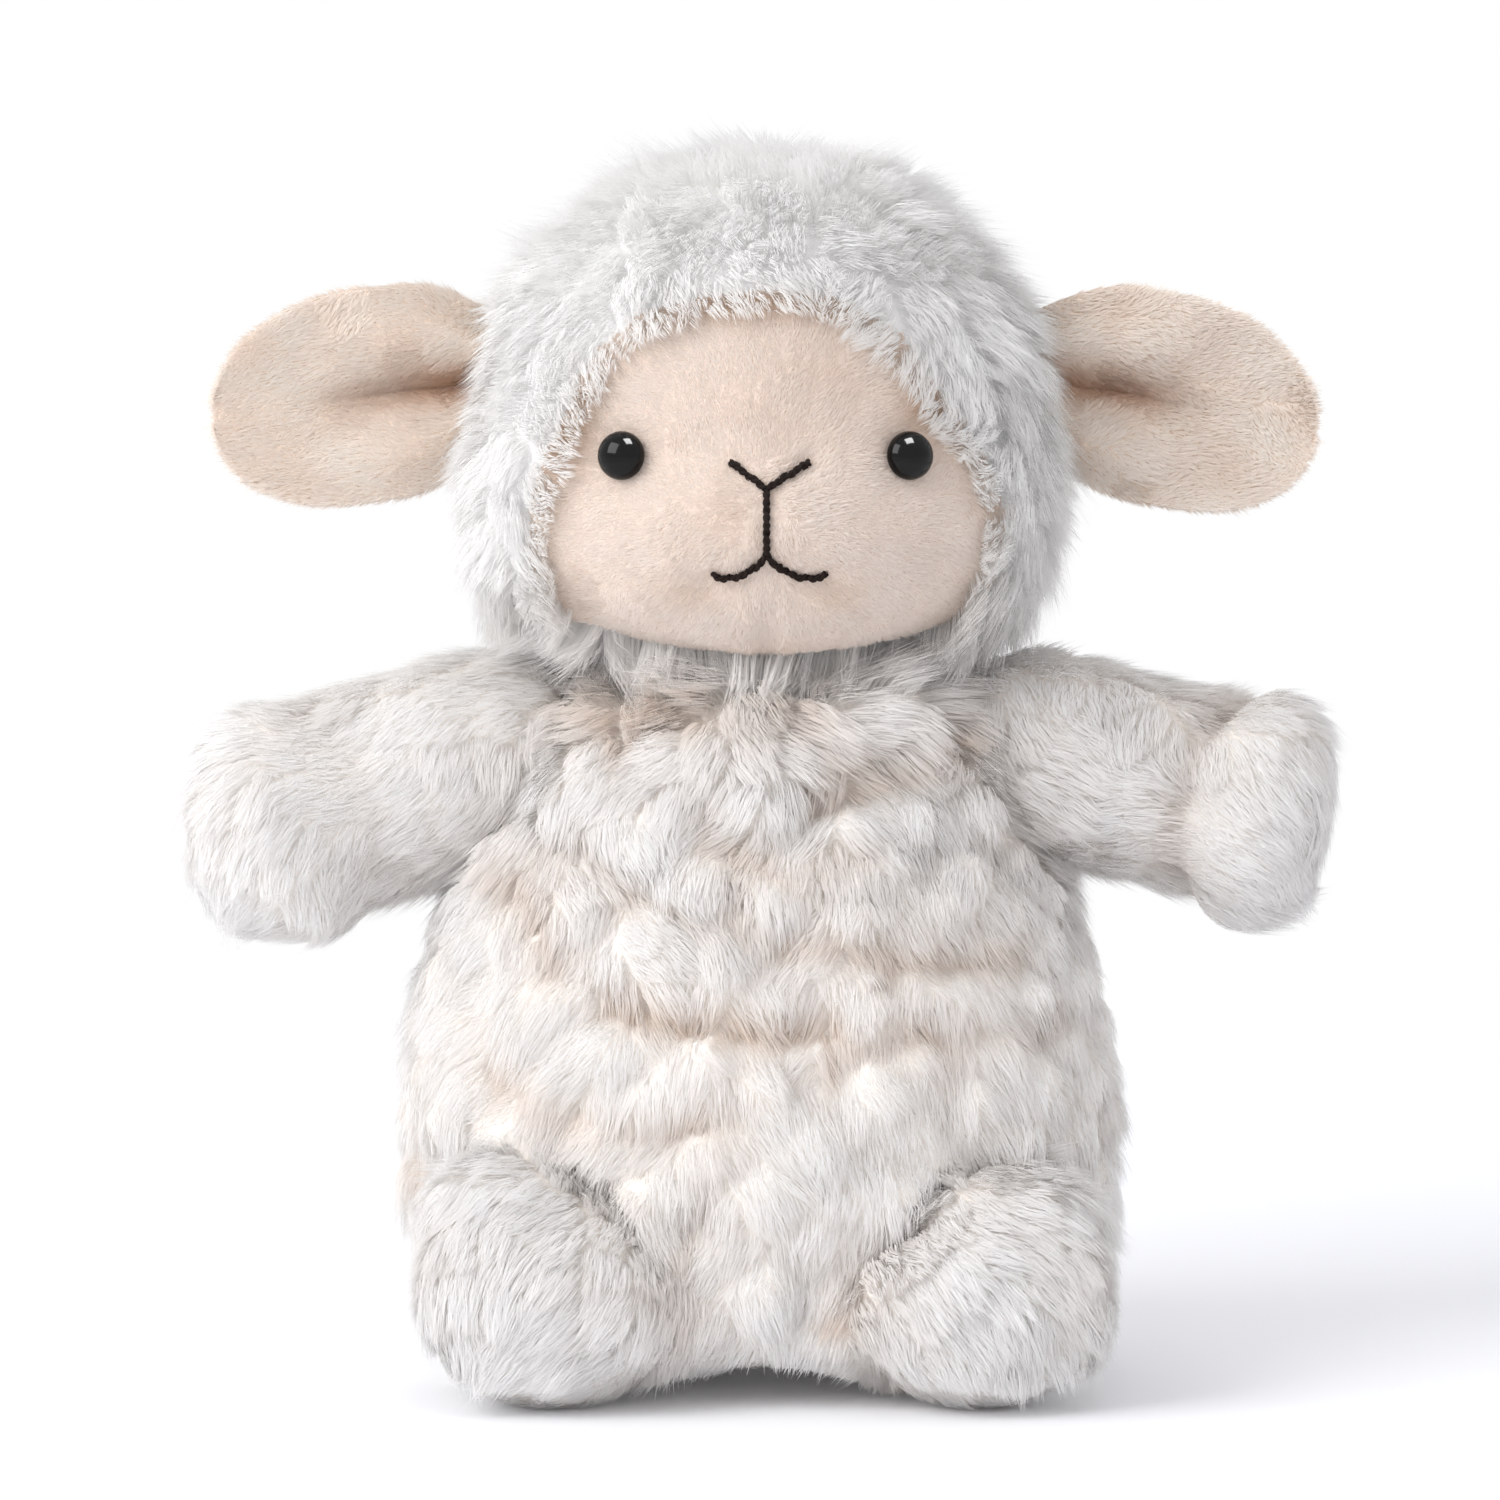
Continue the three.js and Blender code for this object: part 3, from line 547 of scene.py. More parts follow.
def tufted(places, normals, lay, spacing, seed):
    """How high overlapping tufts lift each point, from 0 in the clefts to about 1 at their tips."""
    draw = np.random.default_rng(seed)
    order = draw.permutation(len(places))
    feet = []
    for index in order:
        if not feet or np.min(np.linalg.norm(places[feet] - places[index], axis=1)) > spacing * MM:
            feet.append(index)
    height = np.zeros(len(places))
    flat = on_surface(lay, normals)
    for foot in feet:
        size = draw.uniform(0.75, 1.3)
        swing = draw.uniform(-TUFT_TURN, TUFT_TURN)
        up, ahead = normals[foot], flat[foot]
        ahead = ahead * math.cos(swing) + np.cross(up, ahead) * math.sin(swing)
        away = (places - places[foot]) / (spacing * MM * size)
        near = np.linalg.norm(away, axis=1) < 2
        along = away[near] @ ahead / TUFT_LONG
        aside = away[near] @ np.cross(up, ahead) / TUFT_WIDE
        facing = clamped(normals[near] @ up * 2)
        rise = clamped((along + 1.2) / 1.8)
        edge = np.sqrt(clamped(1 - np.clip(along, 0, 1.2) ** 2 / 1.1 - aside ** 2))
        lift = draw.uniform(0.6, 1.1) * rise * (3 - 2 * rise) * rise * edge * facing
        height[near] = np.maximum(height[near], lift)
    return height


# Pile

# Each part's pile: length in mm, how far it stands up (0 is flat, 1 upright), about how many
# fibres a piece of it has, and its first seed
PILES = {
    "torso": (7, 0.36, {"chest": 61000, "belly": 63000, "back_left": 38500, "back_right": 38500,
                        "base": 5000}, 100),
    "arm": (7, 0.38, 50000, 300),
    "leg": (7.5, 0.35, 44000, 500),
    "tail": (10, 0.45, 7000, 640),
    "neck": (17, 0.65, 11000, 680),
    "hood": (8.6, 0.64, 66000, 700),
    "face": (1.8, 0.42, 88000, 760),
    "ear": (2.4, 0.45, 23000, 800),
}

# Rows of a fibre below its point: place along it and half width
LONG_FIBRE = ((0, 0.85), (0.5, 1))
SHORT_FIBRE = ((0, 1),)

# How the lengths of tufts and locks vary, and how far a lock's lay follows its tuft's
TUFT_VIGOUR = (0.86, 1.14)
LOCK_VIGOUR = (0.9, 1.1)
LOCK_FOLLOWS = 0.75

# The shortest fibre's share of its lock's length, and what the longest has more
SHORTEST_FIBRE = 0.72
LONGEST_ADDS = 0.5

# How many times as long fibres are in a tuft's middle, and what they lose towards its edge
TUFT_MIDDLE = 1.08
TUFT_EDGE = 0.3

# How far a fibre's flat side turns from the cloth, how many radians its wave takes up, and how
# far its shading follows the cloth under it rather than its own faces
FIBRE_TURN = 0.4
WAVE_TURN = 7
SOFTNESS = 0.92

# The fibres' map: its margin, its span, and how far apart a fibre's two edges lie on it
MAP_MARGIN = 0.05
MAP_SPAN = 0.9
MAP_EDGES = 0.02

PILE_SIZES = (
    "Fibre Density", "Tuft Spacing", "Lock Spacing", "Fibre Width", "Tuft Gather", "Lock Gather",
    "Tuft Swirl", "Lock Swirl", "Wave", "Ground",
)

# What points keep as vectors; all else that they keep is a number
VECTORS = ("lay", "up", "foot", "tuft_foot", "tuft_up", "lock_lay", "lock_foot",
           "rise", "run", "gather", "wide", "sway")

# Layers that a finished pile's mesh keeps
KEPT_LAYERS = ("OFBake", "material_index", "sharp_face", "custom_normal")


def fibre_ribbon(name, rows):
    """A unit ribbon that ends in a point; its shape is held in along and across."""
    sides = [(place, side * width) for place, width in rows for side in (-1, 1)]
    sides.append((1, 0))
    last = len(sides) - 1
    faces = strip_faces(len(rows)) + [(last - 2, last - 1, last)]
    ribbon = new_piece(name, [(across, 0, along) for along, across in sides], faces)
    for label, values in zip(("along", "across"), zip(*sides)):
        ribbon.data.attributes.new(label, "FLOAT", "POINT").data.foreach_set("value", values)
    return ribbon


def kind_of(name):
    return "FLOAT_VECTOR" if name in VECTORS else "FLOAT"


def keep(board, geometry, name, value, kind=None, domain="POINT"):
    """Stores a field on a geometry under a name."""
    settings = {"data_type": kind or kind_of(name), "domain": domain}
    inputs = {"Geometry": geometry, "Name": name, "Value": value}
    return board.add("GeometryNodeStoreNamedAttribute", settings, inputs)


def kept(board, name):
    """The field that is stored under a name."""
    settings = {"data_type": kind_of(name)}
    return board.add("GeometryNodeInputNamedAttribute", settings, {"Name": name})


def sampled(board, points, index, name):
    """What the numbered point of another set keeps under a name."""
    inputs = {"Geometry": points, "Value": kept(board, name), "Index": index}
    return board.add("GeometryNodeSampleIndex", {"data_type": kind_of(name)}, inputs)


def scatter(board, cloth, seed, spacing=None, density=None):
    """Points on a cloth, at a least spacing or at a density, with the cloth's normal as up."""
    if spacing is not None:
        inputs = {"Mesh": cloth, "Distance Min": spacing, "Density Max": 3 / (spacing * spacing)}
        settings = {"distribute_method": "POISSON"}
    else:
        inputs = {"Mesh": cloth, "Density": density}
        settings = {"distribute_method": "RANDOM"}
    points = board.add("GeometryNodeDistributePointsOnFaces", settings, {**inputs, "Seed": seed})
    return keep(board, points, "up", points.beside("Normal"))


def chance(board, low, high, seed):
    """A random number for each point."""
    inputs = {2: low, 3: high, "Seed": seed}
    return board.add("FunctionNodeRandomValue", {"data_type": "FLOAT"}, inputs, 1)


def turned(board, direction, angle):
    """A direction turned about the cloth's normal, which points keep as up."""
    inputs = {"Vector": direction, "Axis": kept(board, "up"), "Angle": angle}
    return board.add("ShaderNodeVectorRotate", {"rotation_type": "AXIS_ANGLE"}, inputs)


def set_tufts(board, given, place):
    """A point for each tuft."""
    seed = given["Seed"]
    tufts = scatter(board, given["Cloth"], seed, spacing=given["Tuft Spacing"])
    swirl = chance(board, -1, 1, seed + 11) * given["Tuft Swirl"]
    tufts = keep(board, tufts, "lay", turned(board, kept(board, "lay"), swirl))
    tufts = keep(board, tufts, "vigour", chance(board, *TUFT_VIGOUR, seed + 12))
    return keep(board, tufts, "foot", place)


def set_locks(board, given, place, tufts):
    """A point for each lock, which knows its tuft."""
    seed = given["Seed"]
    locks = scatter(board, given["Cloth"], seed + 1, spacing=given["Lock Spacing"])
    nearest = board.add("GeometryNodeSampleNearest", None, [tufts, place])
    for name in ("foot", "up", "vigour"):
        locks = keep(board, locks, "tuft_" + name, sampled(board, tufts, nearest, name))
    swirl = chance(board, -1, 1, seed + 13) * given["Lock Swirl"]
    tuft_lay = sampled(board, tufts, nearest, "lay") * LOCK_FOLLOWS
    blended = board.unit(tuft_lay + kept(board, "lay") * (1 - LOCK_FOLLOWS))
    locks = keep(board, locks, "lock_lay", turned(board, blended, swirl))
    locks = keep(board, locks, "lock_foot", place)
    vigour = kept(board, "tuft_vigour") * chance(board, *LOCK_VIGOUR, seed + 14)
    locks = keep(board, locks, "vigour", vigour)
    return keep(board, locks, "phase", chance(board, 0, 2 * math.pi, seed + 15))


def set_fibres(board, given, place, locks):
    """A point for each fibre, which keeps how the fibre rises, runs, gathers and sways."""
    seed = given["Seed"]
    fibres = scatter(board, given["Cloth"], seed + 2, density=given["Fibre Density"])
    nearest = board.add("GeometryNodeSampleNearest", None, [locks, place])
    tuft_foot, lock_foot, lay, tuft_up, vigour, phase = (
        sampled(board, locks, nearest, name)
        for name in ("tuft_foot", "lock_foot", "lock_lay", "tuft_up", "vigour", "phase"))
    up = board.unit(kept(board, "up") + tuft_up)
    spread = board.length(place - tuft_foot) / given["Tuft Spacing"]
    longer = chance(board, 0, 1, seed + 16) ** 4 * LONGEST_ADDS + SHORTEST_FIBRE
    reach = kept(board, "pile") * vigour * longer * (TUFT_MIDDLE - spread * spread * TUFT_EDGE)
    stand = kept(board, "stand")
    side = board.unit(board.vector_maths("CROSS_PRODUCT", [lay, up]))
    loose = given["Lock Gather"] * chance(board, 0.5, 1.1, seed + 17)
    face_turn = up * chance(board, -FIBRE_TURN, FIBRE_TURN, seed + 18)
    fields = {
        "rise": up * (reach * stand),
        "run": lay * (reach * (1.15 - stand)),
        "gather": (lock_foot - tuft_foot) * given["Tuft Gather"] + (place - lock_foot) * loose,
        "wide": board.unit(side + face_turn) * (given["Fibre Width"] * 0.5),
        "sway": side * given["Wave"],
        "phase": phase,
        # Fibres towards a tuft's edge lie a little lower: painted shade between tufts; the chance is
        # the wool's own uneven tone
        "low": kept(board, "low") + spread * 0.08 + chance(board, -0.05, 0.05, seed + 19),
    }
    for name, value in fields.items():
        fibres = keep(board, fibres, name, value)
    return fibres


def bend_fibres(board, given, place, fibres):
    """Puts a ribbon on each fibre's point, bends it, and gives it its normals and its map."""
    ribbon = board.add("GeometryNodeObjectInfo", None, {"Object": given["Ribbon"]}, "Geometry")
    placed = board.add("GeometryNodeInstanceOnPoints", None, {
        "Points": fibres, "Instance": ribbon, "Scale": (0, 0, 0)})
    strands = board.add("GeometryNodeRealizeInstances", None, {"Geometry": placed})
    along, across = kept(board, "along"), kept(board, "across")
    bend = kept(board, "rise") * (along * (1.7 - along * 0.7))
    bend = bend + kept(board, "run") * (along * (along * 0.55 + 0.45))
    bend = bend - kept(board, "gather") * along
    angle = along * WAVE_TURN + kept(board, "phase")
    wave = board.add("ShaderNodeMath", {"operation": "SINE"}, [angle])
    bend = bend + kept(board, "sway") * (wave * along) + kept(board, "wide") * across
    strands = board.add("GeometryNodeSetPosition", None, {"Geometry": strands, "Offset": bend})
    floor = board.add("ShaderNodeCombineXYZ", None, [-10, -10, given["Ground"]])
    lifted = board.vector_maths("MAXIMUM", [place, floor])
    strands = board.add("GeometryNodeSetPosition", None, {"Geometry": strands, "Position": lifted})
    bare = board.add("GeometryNodeInputNormal")
    soft = board.unit(kept(board, "up") * SOFTNESS + bare * (1 - SOFTNESS))
    strands = board.add("GeometryNodeSetMeshNormal", {"mode": "FREE", "domain": "POINT"}, {
        "Mesh": strands, "Custom Normal": soft})
    shade = board.add("ShaderNodeClamp", None, [kept(board, "low"), 0, 1])
    chart = board.add("ShaderNodeCombineXYZ", None, [
        along * MAP_SPAN + MAP_MARGIN, shade * MAP_SPAN + across * MAP_EDGES + MAP_MARGIN, 0])
    return keep(board, strands, "OFBake", chart, "FLOAT2", "CORNER")


def pile_tree():
    """Fibres gathered into locks and tufts on a cloth that keeps lay, pile, stand and low."""
    tree = bpy.data.node_groups.new("pile", "GeometryNodeTree")
    inputs = [("Cloth", "Geometry"), ("Ribbon", "Object"), ("Finish", "Material"), ("Seed", "Int")]
    inputs += [(label, "Float") for label in PILE_SIZES]
    for label, kind in inputs:
        tree.interface.new_socket(name=label, in_out="INPUT", socket_type="NodeSocket" + kind)
    tree.interface.new_socket(name="Pile", in_out="OUTPUT", socket_type="NodeSocketGeometry")
    board = Board(tree)
    source = tree.nodes.new("NodeGroupInput")
    given = {socket.name: Wire(board, socket) for socket in source.outputs if socket.name}
    place = board.add("GeometryNodeInputPosition")
    tufts = set_tufts(board, given, place)
    locks = set_locks(board, given, place, tufts)
    fibres = set_fibres(board, given, place, locks)
    finished = board.add("GeometryNodeSetMaterial", None, {
        "Geometry": bend_fibres(board, given, place, fibres), "Material": given["Finish"]})
    out = tree.nodes.new("NodeGroupOutput")
    tree.links.new(finished.socket, out.inputs["Pile"])
    return tree


def look(spacing, width, gather, swirl, wave):
    """The sizes of a pile in mm; spacing, gather and swirl are for its tufts and for its locks."""
    return {
        "Tuft Spacing": spacing[0] * MM, "Lock Spacing": spacing[1] * MM,
        "Fibre Width": width * MM, "Tuft Gather": gather[0], "Lock Gather": gather[1],
        "Tuft Swirl": swirl[0], "Lock Swirl": swirl[1], "Wave": wave * MM, "Ground": 0.3 * MM,
    }


def pile_fields(lay, normals, pile, stand, low):
    """The fields that the pile tree reads; lengths are in mm."""
    count = len(normals)
    full = [np.broadcast_to(np.asarray(value, float), (count,)) for value in (pile, stand, low)]
    return {
        "lay": on_surface(lay, normals),
        "pile": full[0] * MM,
        "stand": np.clip(full[1], 0.05, 1),
        "low": full[2],
    }


def patch(skin, chosen, fields):
    """The chosen faces of a skin as a mesh of their own, with fields kept on their corners."""
    mesh = skin.copy()
    for name, values in fields.items():
        key = "vector" if values.ndim == 2 else "value"
        layer = mesh.attributes.new(name, kind_of(name), "POINT")
        layer.data.foreach_set(key, values.astype(np.float32).ravel())
    cut = bmesh.new()
    cut.from_mesh(mesh)
    cut.faces.ensure_lookup_table()
    dropped = [face for face, wanted in zip(cut.faces, chosen) if not wanted]
    bmesh.ops.delete(cut, geom=dropped, context="FACES")
    cut.to_mesh(mesh)
    cut.free()
    return mesh


def set_inputs(modifier, values):
    """Sets a geometry modifier's inputs, named as its tree names them."""
    for item in modifier.node_group.interface.items_tree:
        if item.item_type == "SOCKET" and item.in_out == "INPUT" and item.name in values:
            modifier[item.identifier] = values[item.name]


def grow(name, body, kind, cloth, count, seed):
    """Grows about count fibres of one kind on a cloth, as a piece that rides on a body."""
    sizes, finish, ribbon, slot = WOOLS[kind]
    area = sum(face.area for face in cloth.polygons)
    bed = show(name + "_bed", cloth)
    modifier = bed.modifiers.new("pile", "NODES")
    modifier.node_group = PILE_TREE
    set_inputs(modifier, {
        **sizes, "Fibre Density": count / area, "Ribbon": ribbon, "Finish": finish, "Seed": seed})
    mesh = settled(bed)
    # By name, because to remove one layer moves the others
    spare = [layer.name for layer in mesh.attributes if not (
        layer.is_internal or layer.is_required or layer.name in KEPT_LAYERS)]
    for label in spare:
        mesh.attributes.remove(mesh.attributes[label])
    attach(show(name, mesh), body)


def stuff(body, skin, material, nodes):
    """Shows a stuffed skin on its body in place of its solids."""
    piece = show(f"{body}_cloth", skin, material)
    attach(piece, body)
    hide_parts(*nodes)


# Torso

TORSO_PANELS = (
    "torso_front_panel", "torso_back_left_panel", "torso_back_right_panel", "torso_base_panel")

# Grid in mm on which the skins are made: the torso, limbs and tail, then the head and neck
SKIN_VOXEL = 1.5
HEAD_VOXEL = 2

# Spacing of the torso's tufts, how high they rise and how much less at the plain flanks, in mm
TORSO_TUFTS = 13
TUFT_RISE = 4.8
PLAINER = 2.8

# How far the flanks stand out past the solid on each side, in mm
FLANKS = {"left": 2.2, "right": 4.5}

# The belly's pile ends and the chest's begins at this height, in mm
WAIST = 80

# No pile grows this close to a joint's point, in mm, where it would hide inside a limb
CLEARINGS = {"head_turn": 20, "arm_left_raise": 13, "arm_right_raise": 13,
             "leg_left_lift": 9, "leg_right_lift": 9}

# Folds in the front of the body: places across and up in mm, then the depth in mm; the first
# two are the creases above the feet
BODY_FOLDS = (
    (((-60, 41), (-45, 36), (-31, 29), (-17, 18)), 1.5),
    (((50, 38), (38, 36), (25, 29), (12, 17)), 1.5),
    (((-27, 75), (-10, 72), (12, 71)), 3.5),
    (((12, 68), (34, 70), (54, 69)), 2.0),
    (((6, 87), (22, 83), (44, 83)), 2.5),
    (((10, 112), (28, 119), (48, 121)), 2.5),
    (((-42, 124), (-26, 126), (-12, 125)), 2.5),
    (((-10, 104), (4, 99), (16, 103)), 2.0),
    (((-52, 100), (-44, 92), (-38, 80)), 2.5),
    (((-46, 60), (-30, 52), (-14, 55)), 2.0),
)
# Half widths in mm of the folds, and of the painted shade along the creases above the feet
FOLD_WIDTH = 4
CREASE_WIDTH = 3


def fold_depths(places, normals):
    """How deep each point lies in the folds of the body's front, in mm."""
    across, up = mm(places[:, 0]), mm(places[:, 2])
    depth = np.zeros(len(places))
    for line, deep in BODY_FOLDS:
        depth = np.maximum(depth, deep * hill(near_line(across, up, line), FOLD_WIDTH))
    return depth * clamped(-normals[:, 1] * 2)


def make_torso():
    """The body: its skin, pushed out into tufts and in at its folds, and a pile on each panel."""
    nodes = [*TORSO_PANELS, "torso_stuffing"]
    even = skin_of(nodes, SKIN_VOXEL, 60)
    skin = skin_of(nodes, SKIN_VOXEL, 8)
    even_places, normals = surface_of(even)
    places = surface_of(skin)[0]
    swell = mm(np.sum((places - even_places) * normals, axis=1))
    bpy.data.meshes.remove(even)
    across, height = mm(places[:, 0]), mm(places[:, 2])
    lay = unit_rows(places * (1, 1, 0)) * 0.35 - UPRIGHT
    collar = clamped((height - 112) / 14)
    flow = uneven(places, 20, 16) * (0.4 + collar * 0.5)
    lay = swirled(lay, normals, uneven(places, 60, 6) * 0.5 + flow)
    underneath = clamped((-normals[:, 2] - 0.45) * 4)
    shelf = clamped(normals[:, 2] * 2 - 0.6) * (height > 110)
    tufts = tufted(places, normals, lay, TORSO_TUFTS, 5)
    folds = fold_depths(places, normals)
    plain = clamped((np.abs(across) - 40) / 14) * (height < 100)
    relief = (tufts - 0.5) * (TUFT_RISE - PLAINER * plain)
    flank = clamped(np.abs(normals[:, 0]) * 1.6 - 0.5) * hill(height - 52, 42, 4)
    flank *= np.where(across < 0, FLANKS["right"], FLANKS["left"])
    lumps = uneven(places, 42, 5) * 0.8 + relief - folds + collar * 3.5 + flank
    limbs = np.zeros(len(places))
    for side in SIDES:
        leg = closeness(places, [f"leg_{side}_upper_panel"], 10)
        lumps += leg * 4 * (height > 12)
        limbs = np.maximum(limbs, leg)
        for panel in ("front", "back"):
            limbs = np.maximum(limbs, closeness(places, [f"arm_{side}_{panel}_panel"], 12) * 0.8)
    arch = clamped(1 - height / 20) * hill(across, 20) * (places[:, 1] < 0)
    moved = places + normals * (lumps * (1 - underneath))[:, None] * MM
    set_points(skin, moved + np.outer(arch * 7, UPRIGHT) * MM)

    length, upright, fibres, seed = PILES["torso"]
    pile = length + uneven(places, 30, 7) * 0.6 + collar * 3 + shelf * 3 + limbs * 3 - arch * 3
    pile = pile * (1 - underneath) + 3 * underneath
    stand = upright + uneven(places, 25, 8) * 0.04 + collar * 0.22 + limbs * 0.1
    # low: painted shade in the clefts between tufts (less on the plain flanks), in sunken places, in
    # the folds, under the collar and round the limbs; the uneven part is the wool's own tone
    low = (1 - tufts) ** 3 * 0.42 * (1 - plain * 0.7) + np.clip(-swell / 3, 0, 0.3)
    low += folds * 0.2 + uneven(places, 35, 9) * 0.05 + collar * 0.12 + limbs * 0.2
    # Painted shade along the two creases above the feet
    for line, _ in BODY_FOLDS[:2]:
        low += 0.5 * hill(near_line(across, height, line), CREASE_WIDTH) * (normals[:, 1] < 0)
    fields = pile_fields(lay, normals, pile, stand, low)
    panels = nearest_panel(skin, TORSO_PANELS)
    centres = centres_of(skin)
    clear = np.ones(len(centres), bool)
    for joint, reach in CLEARINGS.items():
        clear &= clear_of(centres, joint, reach)
    above = centres[:, 2] >= WAIST * MM
    beds = {
        "chest": (panels == "torso_front_panel") & above,
        "belly": (panels == "torso_front_panel") & ~above,
        "back_left": panels == "torso_back_left_panel",
        "back_right": panels == "torso_back_right_panel",
        "base": panels == "torso_base_panel",
    }
    for step, (name, chosen) in enumerate(beds.items()):
        cloth = patch(skin, chosen & clear, fields)
        grow(f"{name}_pile", "torso", "body", cloth, fibres[name], seed + 20 * step)
    stuff("torso", skin, BODY_CLOTH, [
        *TORSO_PANELS, "torso_stuffing", "pellet_pouch", "pellet_filling"])
    return skin


# Limbs

# Spacing of the limbs' tufts, and how deep a limb's cloth may lie in the torso and still have
# pile, in mm
LIMB_TUFTS = 12
LIMB_SINK = 4
TAIL_SINK = 2

# Where each arm's cloth is drawn in above the paw: distance from the shoulder and depth, in mm
WRISTS = {"left": (33, 2.6), "right": (30, 0.8)}
WRIST_WIDTH = 4

# How much the paw is rounded out, and how far its cloth reaches past its solid, in mm
PAW_ROUND = 2.2
PAW_REACH = {"left": 0, "right": 5}

# How much fuller than its solid each arm is, above and below, in mm
ARM_FULLNESS = {"left": (0, 5), "right": (4.5, 0.5)}

# How steeply the top of each foot climbs from its inner to its outer side
FOOT_CLIMB = 0.38

# How far the cloth stands out where a foot and the body meet, in mm
FILLET = 5


def limb_skin(nodes, lay, lift, seed):
    """A limb's skin raised into tufts, and how high each point of it lies, from 0 to 1."""
    skin = skin_of(nodes, SKIN_VOXEL, 30)
    places, normals = surface_of(skin)
    tufts = tufted(places, normals, lay + places * 0, LIMB_TUFTS, seed)
    lumps = uneven(places, 26, seed) * 0.6 + (tufts - 0.5) * lift
    underneath = clamped((-normals[:, 2] - 0.45) * 4) * (places[:, 2] < 6 * MM)
    set_points(skin, places + normals * (lumps * (1 - underneath))[:, None] * MM)
    return skin, tufts


def finish_limb(part, side, skin, torso, fields, nodes):
    """Grows a limb's pile where it is clear of the torso, and puts both in the scene."""
    _, _, fibres, seed = PILES[part]
    body = f"{part}_{side}"
    cloth = patch(skin, depth_inside(torso, centres_of(skin)) < LIMB_SINK * MM, fields)
    grow(f"{body}_pile", body, "limb", cloth, fibres, seed + 50 * SIDES[side])
    stuff(body, skin, BODY_CLOTH, nodes)


def make_arm(side, torso):
    nodes = [f"arm_{side}_front_panel", f"arm_{side}_back_panel", f"arm_{side}_stuffing"]
    shoulder = np.array(pivot(f"arm_{side}_raise"))
    middle = np.array((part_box(nodes[0])[0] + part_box(nodes[0])[1]) / 2)
    reach = unit_rows((middle - shoulder)[None])[0]
    way = reach * 0.8 - UPRIGHT * 0.55
    skin, tufts = limb_skin(nodes, way, 1.4, 20 + SIDES[side])
    places, normals = surface_of(skin)
    along = mm((places - shoulder) @ reach)
    wrist, drawn = WRISTS[side]
    waist = hill(along - wrist, WRIST_WIDTH)
    paw = clamped((along - wrist - 2) / 10) * PAW_ROUND - drawn * waist
    longer = np.outer(clamped((along - 30) / 25) * PAW_REACH[side], reach)
    above, below = ARM_FULLNESS[side]
    swell = clamped(normals[:, 2]) * above * clamped(along / 25)
    swell += clamped(-normals[:, 2]) * below * clamped((along - 15) / 25)
    set_points(skin, places + (normals * (paw + swell)[:, None] + longer) * MM)
    flow = uneven(places, 40, 21) * 0.5 + uneven(places, 18, 24) * 0.35
    lay = swirled(way + places * 0, normals, flow)
    root = closeness(places, TORSO_PANELS, 14)
    length, upright, _, _ = PILES["arm"]
    pile = length + uneven(places, 24, 22) * 0.5 + root * 2.5
    stand = upright + uneven(places, 22, 23) * 0.03 + root * 0.15
    # low: painted shade in the clefts between tufts, where the arm meets the body and at the
    # drawn-in wrist
    low = (1 - tufts) ** 2 * 0.15 + root * 0.2 + drawn * 0.12 * waist
    finish_limb("arm", side, skin, torso, pile_fields(lay, normals, pile, stand, low), nodes)


def make_leg(side, torso):
    nodes = [f"leg_{side}_upper_panel", f"leg_{side}_sole", f"leg_{side}_stuffing"]
    way = np.array((SIDES[side] * 0.5, -0.45, -0.75))
    skin, tufts = limb_skin(nodes, way, 2, 30 + SIDES[side])
    places, normals = surface_of(skin)
    outwards = mm(places[:, 0] - pivot(f"leg_{side}_lift").x) * SIDES[side]
    share = clamped(mm(places[:, 2]) / 38)
    places[:, 2] += outwards * FOOT_CLIMB * share ** 2 * MM
    places[:, 0] += clamped(outwards / 20) * share * SIDES[side] * 3 * MM
    root = closeness(places, TORSO_PANELS, 14)
    filled = root * FILLET * clamped(normals[:, 2] * 2 + 1)
    set_points(skin, places + normals * filled[:, None] * MM)
    normals = surface_of(skin)[1]
    lay = swirled(way + places * 0, normals, uneven(places, 34, 31) * 0.4)
    underneath = clamped((-normals[:, 2] - 0.4) * 4)
    length, upright, _, _ = PILES["leg"]
    pile = length + uneven(places, 24, 32) * 0.6 + root * 2
    pile = pile * (1 - underneath) + 3 * underneath
    stand = upright + uneven(places, 22, 33) * 0.03 + root * 0.1
    inner = clamped(0.6 - outwards / 20)
    # low: painted shade in the clefts between tufts and in the crease where the foot meets the body;
    # the uneven part is the wool's own tone
    low = (1 - tufts) ** 2 * 0.15 + uneven(places, 30, 34) * 0.04 + root ** 2 * inner * 0.5
    finish_limb("leg", side, skin, torso, pile_fields(lay, normals, pile, stand, low), nodes)


def make_tail(torso):
    length, upright, fibres, seed = PILES["tail"]
    skin = skin_of(["tail_cover", "tail_stuffing"], SKIN_VOXEL, 10)
    places, normals = surface_of(skin)
    lay = np.array((0, 0.5, -0.8)) + places * 0
    lay = swirled(lay, normals, uneven(places, 20, 41) * 0.5)
    fields = pile_fields(lay, normals, length, upright, 0.06)
    cloth = patch(skin, depth_inside(torso, centres_of(skin)) < TAIL_SINK * MM, fields)
    grow("tail_pile", "tail", "body", cloth, fibres, seed)
    stuff("tail", skin, BODY_CLOTH, ["tail_cover", "tail_stuffing"])


def make_neck():
    """The neck's stuffing, with a collar of pile over the lower part of it."""
    length, upright, fibres, seed = PILES["neck"]
    skin = skin_of(["neck_stuffing"], HEAD_VOXEL, 8)
    places, normals = surface_of(skin)
    lay = unit_rows(places * (1, 1, 0)) * 0.6 - UPRIGHT
    # The collar's fibres are tan throughout: painted shade under the head
    fields = pile_fields(lay, normals, length, upright, 0.35)
    height = centres_of(skin)[:, 2]
    middle = pivot("head_turn").z
    band = (height > middle) & (height < middle + 20 * MM)
    grow("neck_pile", "neck", "body", patch(skin, band, fields), fibres, seed)
    stuff("neck", skin, BODY_CLOTH, ["neck_stuffing"])


# Head

HEAD_PANELS = ("hood_left_panel", "hood_right_panel", "face_panel")

# No pile of the head grows this close to the neck's joint, in mm
NECK_CLEARING = 25

